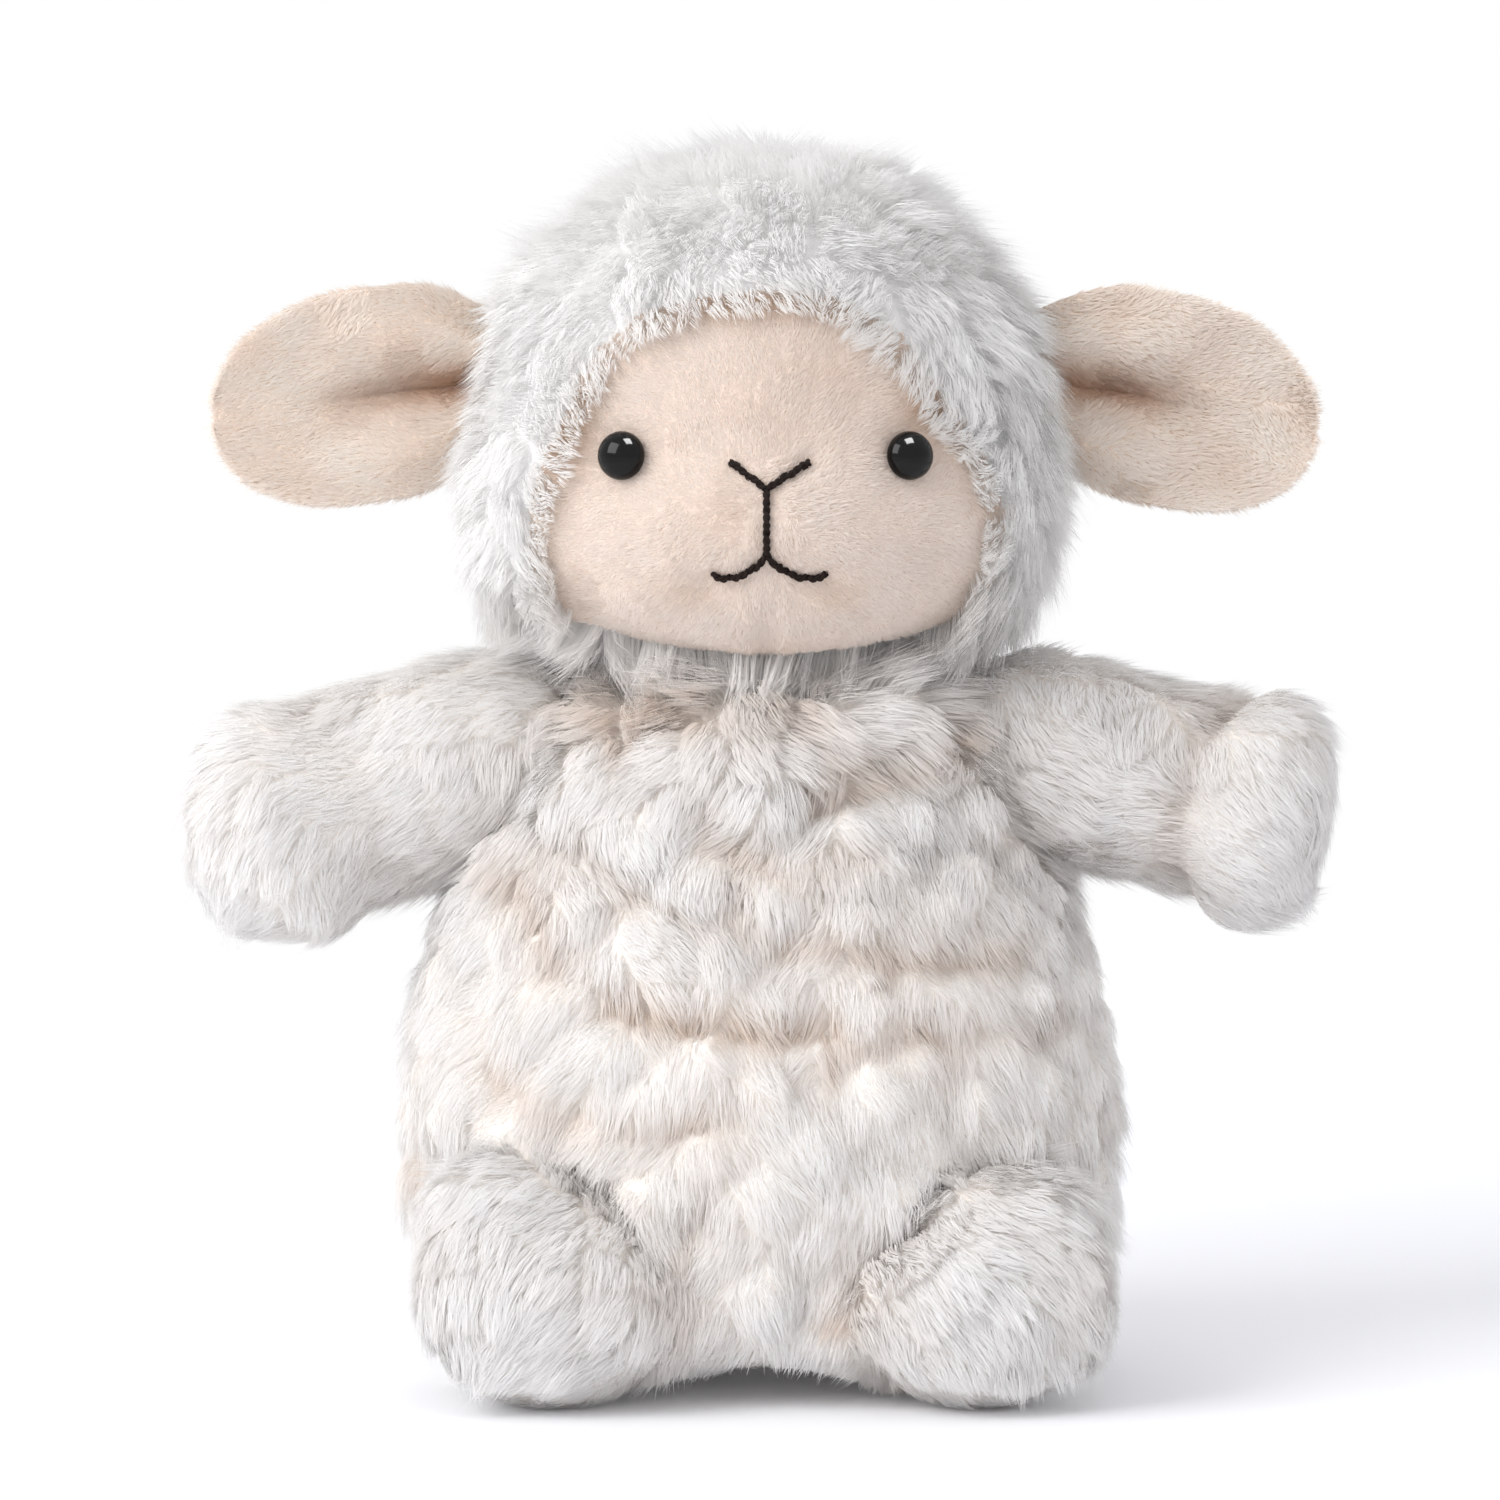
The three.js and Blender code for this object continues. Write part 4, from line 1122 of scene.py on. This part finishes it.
# The face as it shows between the hood's fibres: places across and up in mm
FACE_LINE = (
    (-1, 203), (-12, 202), (-21, 199), (-28, 193.5), (-31, 188), (-33.5, 182), (-36.5, 176),
    (-39, 169), (-40, 161), (-39, 152), (-34.5, 144), (-27, 139.5), (-14, 137), (1, 136),
    (16, 137), (29, 141.5), (36.5, 148.5), (40, 158), (40.5, 166), (37.5, 174), (33, 180.5),
    (29, 185.5), (26, 190), (22, 196), (14, 201), (6, 203),
)
# How far below that line's heights the face sits on the head, in mm
FACE_DROP = 2

# How far inside the face's line the hood's fibres, the face's nap and its cloth end, in mm;
# below 0 is outside it
HOOD_ENDS = 0.5
NAP_ENDS = -3
SHEET_ENDS = -3.5

# How far the hood's fibres lean over the face at its rim, against how far they lie down the head
RIM_LEAN = 0.6

# Places on the head in mm: where the hood's lay starts, what its rim leans to, and the fuller
# pile at the left temple with its size
CROWN = (4, 12)
FACE_MIDDLE = (0, -45, 170)
TEMPLE = (40, -24, 190)
TEMPLE_SIZE = 24

# Cheeks, muzzle and the bridge of the nose: place across and above the chin, half width and
# half height, and how far each stands out, all in mm
FACE_MOUNDS = ((17, 15, 10, 9, 1.8), (0, 22, 17, 11, 4.2), (0, 42, 8, 12, 1.2))

# How far the jaw stands out past the solid on each side, in mm
JAW = {"left": 2.0, "right": 4.0}

# Painted shade: under the hood's rim at the temples and brow, beside the nose and muzzle, at the
# mouth's ends and under the chin
# Deeper tan painted on the face as shade: place across and up, half width and half height in mm, and
# share
FACE_SHADES = (
    (-36, 182, 5, 9, 0.7), (29, 185, 5, 8, 0.6), (0, 202, 22, 3, 0.5), (10, 187, 9, 10, 0.2),
    (-5, 163, 6, 6, 0.3), (-13, 150, 8, 3.5, 0.35), (12, 150, 5, 3, 0.4), (2, 138, 14, 4, 0.3),
)

# Half widths, in mm, of the dents round the eyes and along the stitches and of the chin's dart,
# and the gap that the nap leaves round each eye
EYE_DENT = 8
STITCH_DENT = 2.2
DART = 1.8
EYE_CLEARING = 4.2

STITCHES = ("lip_stitch", "nose_stitch_left", "nose_stitch_right",
            "mouth_stitch_left", "mouth_stitch_right")


def stitch_line(node):
    """The (across, up) places in mm that a stitch joins; all of them meet at the upright one."""
    low, high = (Vector(corner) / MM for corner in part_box(node))
    lip_low, lip_high = (Vector(corner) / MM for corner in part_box("lip_stitch"))
    middle = (lip_low.x + lip_high.x) / 2
    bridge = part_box("nose_stitch_left")[0].z / MM + 0.4
    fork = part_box("mouth_stitch_left")[1].z / MM + 1.4
    if node == "lip_stitch":
        return ((middle, fork), (middle, bridge))
    far = high.x if node.endswith("left") else low.x + 1.5
    if node.startswith("nose"):
        return ((middle, bridge), (far, high.z - 0.6))
    return ((middle, fork), ((middle + far) / 2, low.z + 2.2), (far, low.z + 2.6))


def in_face(places):
    """How far inside the face's line each place on the front of the head lies, in mm."""
    across, up = mm(places[:, 0]), mm(places[:, 2]) + FACE_DROP
    line = (*FACE_LINE, FACE_LINE[0])
    inside = np.zeros(len(places), bool)
    for (x0, z0), (x1, z1) in zip(line, line[1:]):
        if z0 != z1:
            crossing = x0 + (up - z0) * (x1 - x0) / (z1 - z0)
            inside ^= ((z0 > up) != (z1 > up)) & (across < crossing)
    inside &= places[:, 1] < 0
    gap = near_line(across, up, line)
    return np.where(places[:, 1] < 0, np.where(inside, gap, -gap), -99)


def near_stitches(places, normals):
    """Distance in mm of each point from the closest stitch; far away behind the face."""
    across, up = mm(places[:, 0]), mm(places[:, 2])
    best = np.full(len(places), 1e9)
    for node in STITCHES:
        best = np.minimum(best, near_line(across, up, stitch_line(node)))
    return np.where(normals[:, 1] < 0, best, 1e9)


def eye_middle(side):
    low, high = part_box(f"eye_{side}")
    middle = (low + high) / 2
    return np.array((middle.x, low.y, middle.z))


def head_skin():
    """The head's skin with its dents, cheeks, muzzle, jaw and chin."""
    skin = skin_of([*HEAD_PANELS, "head_stuffing"], HEAD_VOXEL, 30)
    places, normals = surface_of(skin)
    front = clamped(-normals[:, 1] * 2)
    across, up = mm(places[:, 0]), mm(places[:, 2])
    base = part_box("face_panel")[0].z / MM
    moved = -0.3 + uneven(places, 34, 50) * 0.35
    for side in SIDES:
        middle = mm(eye_middle(side))
        moved -= 1.6 * hill(np.hypot(across - middle[0], up - middle[2]), EYE_DENT) * front
    moved -= 1.1 * hill(near_stitches(places, normals), STITCH_DENT) * front
    moved -= 1.5 * (hill(across, DART) * clamped((base + 14 - up) / 10)) * front
    fuller = sum(out * mound(np.abs(across), up - base, *oval) for *oval, out in FACE_MOUNDS)
    moved += fuller * front
    jaw = clamped(np.abs(normals[:, 0]) * 1.5 - 0.4) * hill(up - base - 14, 26, 4)
    moved += jaw * np.where(across < 0, JAW["right"], JAW["left"])
    chin = clamped((base + 16 - up) / 12) * hill(across, 24) * (normals[:, 1] < 0.2)
    dropped = np.outer(chin * 4, -UPRIGHT)
    set_points(skin, places + (normals * moved[:, None] + dropped) * MM)
    return skin


def hood_fields(places, normals):
    """The hood's pile: down from the crown, over the face at its rim, fuller at the temple."""
    crown = np.array((CROWN[0] * MM, CROWN[1] * MM, places[:, 2].max()))
    lay = on_surface(unit_rows(places - crown) - UPRIGHT * 0.2, normals)
    inwards = on_surface(unit_rows(np.array(FACE_MIDDLE) * MM - places), normals)
    rim = hill(in_face(places), 9) * (normals[:, 1] < -0.25)
    away = ((places - np.array(TEMPLE) * MM) ** 2).sum(axis=1)
    temple = np.exp(-away / (TEMPLE_SIZE * MM) ** 2)
    lay = lay * (1 - rim)[:, None] + inwards * (rim * RIM_LEAN)[:, None]
    flow = uneven(places, 12, 57) * 0.6 * (1 - rim)
    lay = swirled(lay, normals, uneven(places, 30, 51) * 0.4 + flow)
    beneath = clamped(-normals[:, 2] * 1.5 - 0.2)
    fluff = clamped(normals[:, 2] * 1.4)
    length, upright, _, _ = PILES["hood"]
    pile = length + uneven(places, 22, 52) * 0.7 + temple * 3 + beneath * 8
    pile = pile + fluff * 1.6 - rim * 1.4
    stand = upright + uneven(places, 14, 53) * 0.06 - temple * 0.1 + fluff * 0.08 - rim * 0.12
    # low: painted shade on the hood's underside and where its fibres lean over the face; the uneven
    # part is the wool's own tone
    low = 0.04 + uneven(places, 26, 54) * 0.04 + beneath * 0.15 + rim ** 3 * 0.12
    return pile_fields(lay, normals, pile, stand, low)


def face_fields(places, normals):
    """The face's nap: away from the nose, short at the stitches, and tanned with painted shade."""
    nose = np.array((0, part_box("lip_stitch")[0].y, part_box("lip_stitch")[1].z))
    lay = swirled(unit_rows(places - nose), normals, uneven(places, 14, 55) * 0.4)
    seams = clamped(1 - near_stitches(places, normals) / 1.8)
    edge = clamped(1 - in_face(places) / 7) * (normals[:, 1] < -0.25)
    # Over the nap's own uneven tone: painted shade where the hood's fibres overhang its rim, and in
    # the grooves along the stitches
    tone_and_shade = 0.12 + uneven(places, 20, 56) * 0.05 + edge ** 2 * 0.3 + seams * 0.15
    for *oval, share in FACE_SHADES:
        tone_and_shade += share * mound(mm(places[:, 0]), mm(places[:, 2]), *oval)
    # Painted shade in the hollows round the eyes
    for side in SIDES:
        off = np.linalg.norm(places - eye_middle(side), axis=1)
        tone_and_shade += 0.3 * hill(mm(off), 7)
    length, upright, _, _ = PILES["face"]
    return pile_fields(lay, normals, length - 1.1 * seams, upright, tone_and_shade)


def make_head():
    """The head: hood pile on each half, nap on the face, and the cloth under both."""
    skin = head_skin()
    places, normals = surface_of(skin)
    centres = centres_of(skin)
    clear = clear_of(centres, "head_turn", NECK_CLEARING)
    facing = np.where([face.normal.y < -0.25 for face in skin.polygons], in_face(centres), -99)

    _, _, fibres, seed = PILES["hood"]
    fields = hood_fields(places, normals)
    for step, side in enumerate(SIDES):
        chosen = (facing < HOOD_ENDS) & (centres[:, 0] * SIDES[side] > 0) & clear
        cloth = patch(skin, chosen, fields)
        grow(f"hood_{side}_pile", "head", "hood", cloth, fibres, seed + 20 * step)

    _, _, fibres, seed = PILES["face"]
    chosen = (facing > NAP_ENDS) & clear
    for side in SIDES:
        chosen &= np.hypot(*(centres - eye_middle(side))[:, [0, 2]].T) > EYE_CLEARING * MM
    cloth = patch(skin, chosen, face_fields(places, normals))
    grow("face_nap", "head", "face", cloth, fibres, seed)

    stuff("head", skin, HOOD_CLOTH, [
        "hood_left_panel", "hood_right_panel", "head_stuffing"])
    make_face_panel(skin, facing > SHEET_ENDS)
    return skin


def make_face_panel(skin, chosen):
    """The face's own cloth, a thin sheet over the front of the head."""
    sheet = show("face_sheet", patch(skin, chosen, {}), FACE_CLOTH)
    thick = sheet.modifiers.new("thickness", "SOLIDIFY")
    thick.thickness = 0.8 * MM
    thick.offset = -0.6
    face = show("face_panel_cloth", settled(sheet), FACE_CLOTH)
    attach(face, "head")
    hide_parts("face_panel")


# Ears

# Lengths in mm, the droop in degrees, and the ear's grid in columns and rows
EAR_HALF_HEIGHT = 20
EAR_ROOT_HALF_HEIGHT = 13
EAR_ROOT_REACH = 2
EAR_THICKNESS = 3.4
EAR_CUP = 4.5
EAR_DROOP = {"left": 9, "right": 7}
EAR_COLUMNS = 40
EAR_ROWS = 32

# The ear's two rolls and the valley between them: height in mm, place and half width as shares
# of the ear's half height, and where along the ear each begins and ends to fade
UPPER_ROLL = (5.5, 0.5, 0.34, 0.35, 0.72)
LOWER_ROLL = (4.0, -0.52, 0.36, 0.2, 0.7)
VALLEY = (4.5, 0.02, 0.13, 0.3, 0.75)


def fade(value, start, end):
    """1 before start, 0 after end, smooth between."""
    share = min(1, max(0, (value - start) / (end - start)))
    return 1 - share * share * (3 - 2 * share)


def roll(along, across, high, middle, width, start, end):
    """How high a roll along the ear stands at one place, in mm."""
    return high * math.exp(-((across - middle) / width) ** 2) * fade(along, start, end)


def ear_point(side, along, across, layer, length):
    """A point of the ear in mm from its root; layer is -1 in front and 1 behind."""
    opening = math.sin(min(1, along / 0.35) * math.pi / 2)
    tip = max(0, (along - 0.5) / 0.5) * 0.99
    half = EAR_ROOT_HALF_HEIGHT + (EAR_HALF_HEIGHT - EAR_ROOT_HALF_HEIGHT) * opening
    half *= math.sqrt(1 - tip * tip)
    out = along * (length + EAR_ROOT_REACH) - EAR_ROOT_REACH
    up = half * across - math.tan(math.radians(EAR_DROOP[side])) * out
    edge = math.sqrt(max(0, 1 - across * across)) ** 0.7 * math.sqrt(1 - along ** 8)
    cup = -EAR_CUP * across * across * (0.35 + 0.65 * math.sin(math.pi * along))
    depth = cup + layer * (EAR_THICKNESS * edge) / 2
    if layer < 0:
        valley, upper, lower = (
            roll(along, across, *sizes) for sizes in (VALLEY, UPPER_ROLL, LOWER_ROLL))
        depth += (valley - upper - lower) * edge
    return SIDES[side] * out, depth, up


def ear_skin(side):
    """A padded ear: two rolls at the root with a crease between them, thin at the tip."""
    root = pivot(f"ear_{side}_flap")
    low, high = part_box(f"ear_{side}_front_panel")
    outer = high.x if side == "left" else low.x
    length = abs(outer - root.x) / MM
    points, faces = [], []
    width = EAR_ROWS + 1
    for layer in (-1, 1):
        start = len(points)
        for i in range(EAR_COLUMNS + 1):
            for j in range(width):
                across = -math.cos(math.pi * j / EAR_ROWS)
                x, y, z = ear_point(side, i / EAR_COLUMNS, across, layer, length)
                points.append(root + Vector((x, y, z)) * MM)
        for i in range(EAR_COLUMNS):
            for j in range(EAR_ROWS):
                corner = start + i * width + j
                faces.append((corner, corner + 1, corner + width + 1, corner + width))
    sheet = bmesh.new()
    corners = [sheet.verts.new(point) for point in points]
    for face in faces:
        sheet.faces.new([corners[k] for k in face])
    bmesh.ops.remove_doubles(sheet, verts=sheet.verts, dist=0.05 * MM)
    rim = [edge for edge in sheet.edges if edge.is_boundary]
    bmesh.ops.holes_fill(sheet, edges=rim, sides=0)
    bmesh.ops.recalc_face_normals(sheet, faces=sheet.faces)
    return written(f"ear_{side}", sheet)


def make_ear(side):
    body = f"ear_{side}"
    skin = ear_skin(side)
    places, normals = surface_of(skin)
    root = np.array(pivot(f"{body}_flap"))
    away = (places[:, 0] - root[0]) * SIDES[side] / MM
    lay = np.array((SIDES[side], -0.1, -0.15)) + places * 0
    lay = swirled(lay, normals, uneven(places, 15, 61) * 0.5)
    # crease: painted shade in the crease between the ear's rolls; the uneven part is the nap's own
    # tone
    crease = hill(mm(places[:, 2] - root[2]) + away * 0.14, 4)
    crease *= clamped(1.2 - away / 26) * (normals[:, 1] < 0.3)
    low = 0.1 + uneven(places, 18, 62) * 0.08 + crease * 0.95
    length, upright, fibres, seed = PILES["ear"]
    fields = pile_fields(lay, normals, length, upright, low)
    front = np.array([face.normal.y < 0 for face in skin.polygons])
    for step, (part, chosen) in enumerate((("front", front), ("back", ~front))):
        cloth = patch(skin, chosen, fields)
        first = seed + 50 * SIDES[side] + 20 * step
        grow(f"{body}_{part}_nap", body, "ear", cloth, fibres, first)
    stuff(body, skin, EAR_CLOTH, [
        f"{body}_front_panel", f"{body}_back_panel"])


# Eyes

# Radius, height of the dome, radius of the shank, and height of the rim, in mm
EYE_RADIUS = 4.5
EYE_DOME = 3.9
EYE_SHANK = 1.6
EYE_RIM = 0.4
DOME_STEPS = 14


def turned_body(name, profile, axis, foot, material, steps=48):
    """A body turned round an axis from (radius, height) pairs in mm."""
    shape = bmesh.new()
    rings = []
    for radius, height in profile:
        count = 1 if radius == 0 else steps
        ring = []
        for k in range(count):
            turn = 2 * math.pi * k / steps
            ring.append(shape.verts.new((
                radius * math.cos(turn) * MM, radius * math.sin(turn) * MM, height * MM)))
        rings.append(ring)
    for first, second in zip(rings, rings[1:]):
        for k in range(steps):
            after = (k + 1) % steps
            if len(first) == 1:
                shape.faces.new((first[0], second[k], second[after]))
            elif len(second) == 1:
                shape.faces.new((first[k], second[0], first[after]))
            else:
                shape.faces.new((first[k], second[k], second[after], first[after]))
    bmesh.ops.recalc_face_normals(shape, faces=shape.faces)
    mesh = written(name, shape)
    mesh.transform(Matrix.Translation(foot) @ UP.rotation_difference(axis).to_matrix().to_4x4())
    mesh.shade_smooth()
    return show(name, mesh, material)


def poles_of(node):
    """The two points of a turned solid that lie on its axis, front one first."""
    shape = bmesh.new()
    shape.from_mesh(frame["nodes"][node].data)
    bmesh.ops.remove_doubles(shape, verts=shape.verts, dist=SAME_CORNER)
    ranked = sorted(shape.verts, key=lambda vertex: -len(vertex.link_edges))[:2]
    ends = sorted((vertex.co.copy() for vertex in ranked), key=lambda place: place.y)
    shape.free()
    return ends


def make_eye(side):
    front, back = poles_of(f"eye_{side}")
    axis = (front - back).normalized()
    shank_length = (front - back).length / MM - EYE_DOME
    profile = [(0, -shank_length), (EYE_SHANK, -shank_length), (EYE_SHANK, 0)]
    profile += [(EYE_RADIUS - 0.35, 0), (EYE_RADIUS - 0.1, 0.1), (EYE_RADIUS, EYE_RIM)]
    for step in range(1, DOME_STEPS + 1):
        turn = math.pi / 2 * step / DOME_STEPS
        rise = EYE_RIM + (EYE_DOME - EYE_RIM) * math.sin(turn)
        profile.append((EYE_RADIUS * math.cos(turn), rise))
    profile[-1] = (0, EYE_DOME)
    eye = turned_body(f"eye_{side}_dome", profile, axis, front - axis * EYE_DOME * MM, EYE_BLACK)
    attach(eye, "head")
    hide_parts(f"eye_{side}")


# Stitches

# Places along each, the lengths of a stitch and of one turn of its twist, and the radius of a
# ply and how far it lies from the thread's middle, in mm
STITCH_POINTS = 60
STITCH_LENGTH = 3.6
TWIST_LENGTH = 2.6
PLY_RADIUS = 0.42
PLY_AWAY = 0.3
PLY_SIDES = 8


def tube(points, radius, sides):
    """Corners and faces of a closed tube along points."""
    corners, faces = [], []
    side_way = None
    for k, point in enumerate(points):
        ahead = points[min(k + 1, len(points) - 1)] - points[max(k - 1, 0)]
        ahead.normalize()
        side_way = ahead.orthogonal() if side_way is None else side_way
        side_way = (side_way - ahead * side_way.dot(ahead)).normalized()
        other = ahead.cross(side_way)
        for step in range(sides):
            turn = 2 * math.pi * step / sides
            corners.append(point + (side_way * math.cos(turn) + other * math.sin(turn)) * radius)
    for k in range(len(points) - 1):
        for step in range(sides):
            low, high = k * sides + step, k * sides + (step + 1) % sides
            faces.append((low, high, high + sides, low + sides))
    last = (len(points) - 1) * sides
    faces.append(tuple(range(sides - 1, -1, -1)))
    faces.append(tuple(range(last, last + sides)))
    return corners, faces


def bent_line(line, count):
    """Evenly spaced (across, up) places along a straight line, or a curve through three."""
    knots = np.array(line, float)
    share = np.linspace(0, 1, count)[:, None]
    if len(knots) == 3:
        middle = 2 * knots[1] - (knots[0] + knots[2]) / 2
        curve = (1 - share) ** 2 * knots[0] + 2 * share * (1 - share) * middle
        return curve + share ** 2 * knots[2]
    length = np.linalg.norm(knots[1] - knots[0])
    wanted = np.linspace(0, length, count)
    return np.stack([np.interp(wanted, (0, length), knots[:, k]) for k in range(2)], axis=1)


def make_stitch(node, skin_tree):
    """Two plies of thread twisted round each other, dipping into the cloth at each stitch."""
    last = STITCH_POINTS - 1
    middle, outwards = [], []
    line = bent_line(stitch_line(node), STITCH_POINTS)
    total = np.linalg.norm(np.diff(line, axis=0), axis=1).sum()
    stitches = max(2, round(total / STITCH_LENGTH))
    for k, (across, up) in enumerate(line):
        hit, normal, _, _ = skin_tree.ray_cast(Vector((across, -200, up)) * MM, Vector((0, 1, 0)))
        dip = 1 - 0.9 * abs(math.cos(math.pi * (k / last) * stitches)) ** 6
        middle.append(hit + normal * (0.25 + 0.75 * dip) * MM)
        outwards.append(normal)
    points, faces = [], []
    for ply in range(2):
        path = []
        for k in range(STITCH_POINTS):
            ahead = (middle[min(k + 1, last)] - middle[max(k - 1, 0)]).normalized()
            aside = ahead.cross(outwards[k]).normalized()
            turn = math.pi * ply + 2 * math.pi * total / TWIST_LENGTH * k / last
            swing = aside * math.cos(turn) + outwards[k] * math.sin(turn)
            path.append(middle[k] + swing * PLY_AWAY * MM)
        corners, sides = tube(path, PLY_RADIUS * MM, PLY_SIDES)
        faces += [tuple(index + len(points) for index in face) for face in sides]
        points += corners
    piece = new_piece(f"{node}_thread", points, faces, DARK_THREAD)
    piece.data.shade_smooth()
    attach(piece, "head")
    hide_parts(node)


# The toy

make_camera()
make_stage()
make_light()

# Each wool: root, tip, the tan of low-lying fibres, and the colour light takes through it; the
# darker roots and the tan are mostly painted shade in the pile
BODY_PILE = fibre_material("body_wool", (251, 250, 249), (254, 254, 254), (233, 210, 190),
                           (0.975, 0.972, 0.97), 0.5)
HOOD_PILE = fibre_material("hood_wool", (254, 254, 253), (254, 254, 254), (241, 231, 222),
                           (0.986, 0.983, 0.98), 0.5)
FACE_NAP = fibre_material("face_velvet", (248, 236, 227), (251, 243, 236), (216, 184, 156),
                          (0.95, 0.915, 0.885), 0.3)
EAR_NAP = fibre_material("ear_velvet", (252, 243, 234), (254, 248, 241), (222, 178, 144),
                         (0.97, 0.945, 0.915), 0.35)
BODY_CLOTH = cloth_material("body_backing", (248, 244, 240), (240, 232, 224))
HOOD_CLOTH = cloth_material("hood_backing", (250, 250, 250), (242, 241, 240))
# The face's and ears' backings are darker than their naps: partly their own beige, partly painted
# shade where the cloth shows between the fibres
FACE_CLOTH = cloth_material("face_backing", (226, 209, 197), (218, 199, 185))
EAR_CLOTH = cloth_material("ear_backing", (228, 210, 194), (220, 200, 182))
DARK_THREAD = cloth_material("brown_thread", (52, 42, 38), (24, 18, 16))
CREAM_THREAD = cloth_material("cream_thread", (240, 234, 224), (214, 204, 190))
EYE_BLACK = gloss_material("black_eye", (0.003, 0.003, 0.003), 0.08)
WASHER_PLASTIC = gloss_material("washer_plastic", (0.8, 0.8, 0.76), 0.45)

PILE_TREE = pile_tree()
RIBBON = fibre_ribbon("ribbon", LONG_FIBRE)
SHORT_RIBBON = fibre_ribbon("short_ribbon", SHORT_FIBRE)
BODY_LOOK = look((6.5, 1.5), 0.2, (0.1, 0.09), (0.28, 0.15), 0.4)
LIMB_LOOK = look((6, 1.4), 0.2, (0.06, 0.07), (0.24, 0.15), 0.4)
HOOD_LOOK = look((7, 1.3), 0.18, (0.08, 0.07), (0.35, 0.25), 0.4)
NAP_LOOK = look((7, 1.0), 0.32, (0, 0), (0.3, 0.3), 0)
WOOLS = {
    "body": (BODY_LOOK, BODY_PILE, RIBBON, "body_pile_cloth"),
    "limb": (LIMB_LOOK, BODY_PILE, RIBBON, "body_pile_cloth"),
    "hood": (HOOD_LOOK, HOOD_PILE, RIBBON, "hood_pile_cloth"),
    "face": (NAP_LOOK, FACE_NAP, SHORT_RIBBON, "face_pile_cloth"),
    "ear": (NAP_LOOK, EAR_NAP, SHORT_RIBBON, "face_pile_cloth"),
}
# Solids whose own shape shows, and what each is made of
BARE = {"eye_washer_left": WASHER_PLASTIC, "eye_washer_right": WASHER_PLASTIC,
        "closing_thread": CREAM_THREAD, "neck_seam_thread": CREAM_THREAD}

torso = make_torso()
head = make_head()
make_neck()
make_tail(torso)
for side in SIDES:
    make_arm(side, torso)
    make_leg(side, torso)
    make_ear(side)
    make_eye(side)
head_tree = tree_round(head)
for node in STITCHES:
    make_stitch(node, head_tree)
for node, material in BARE.items():
    frame["nodes"][node].data.materials.clear()
    frame["nodes"][node].data.materials.append(material)
for ribbon in (RIBBON, SHORT_RIBBON):
    bpy.data.objects.remove(ribbon)

bpy.context.scene.view_settings.view_transform = "Standard"
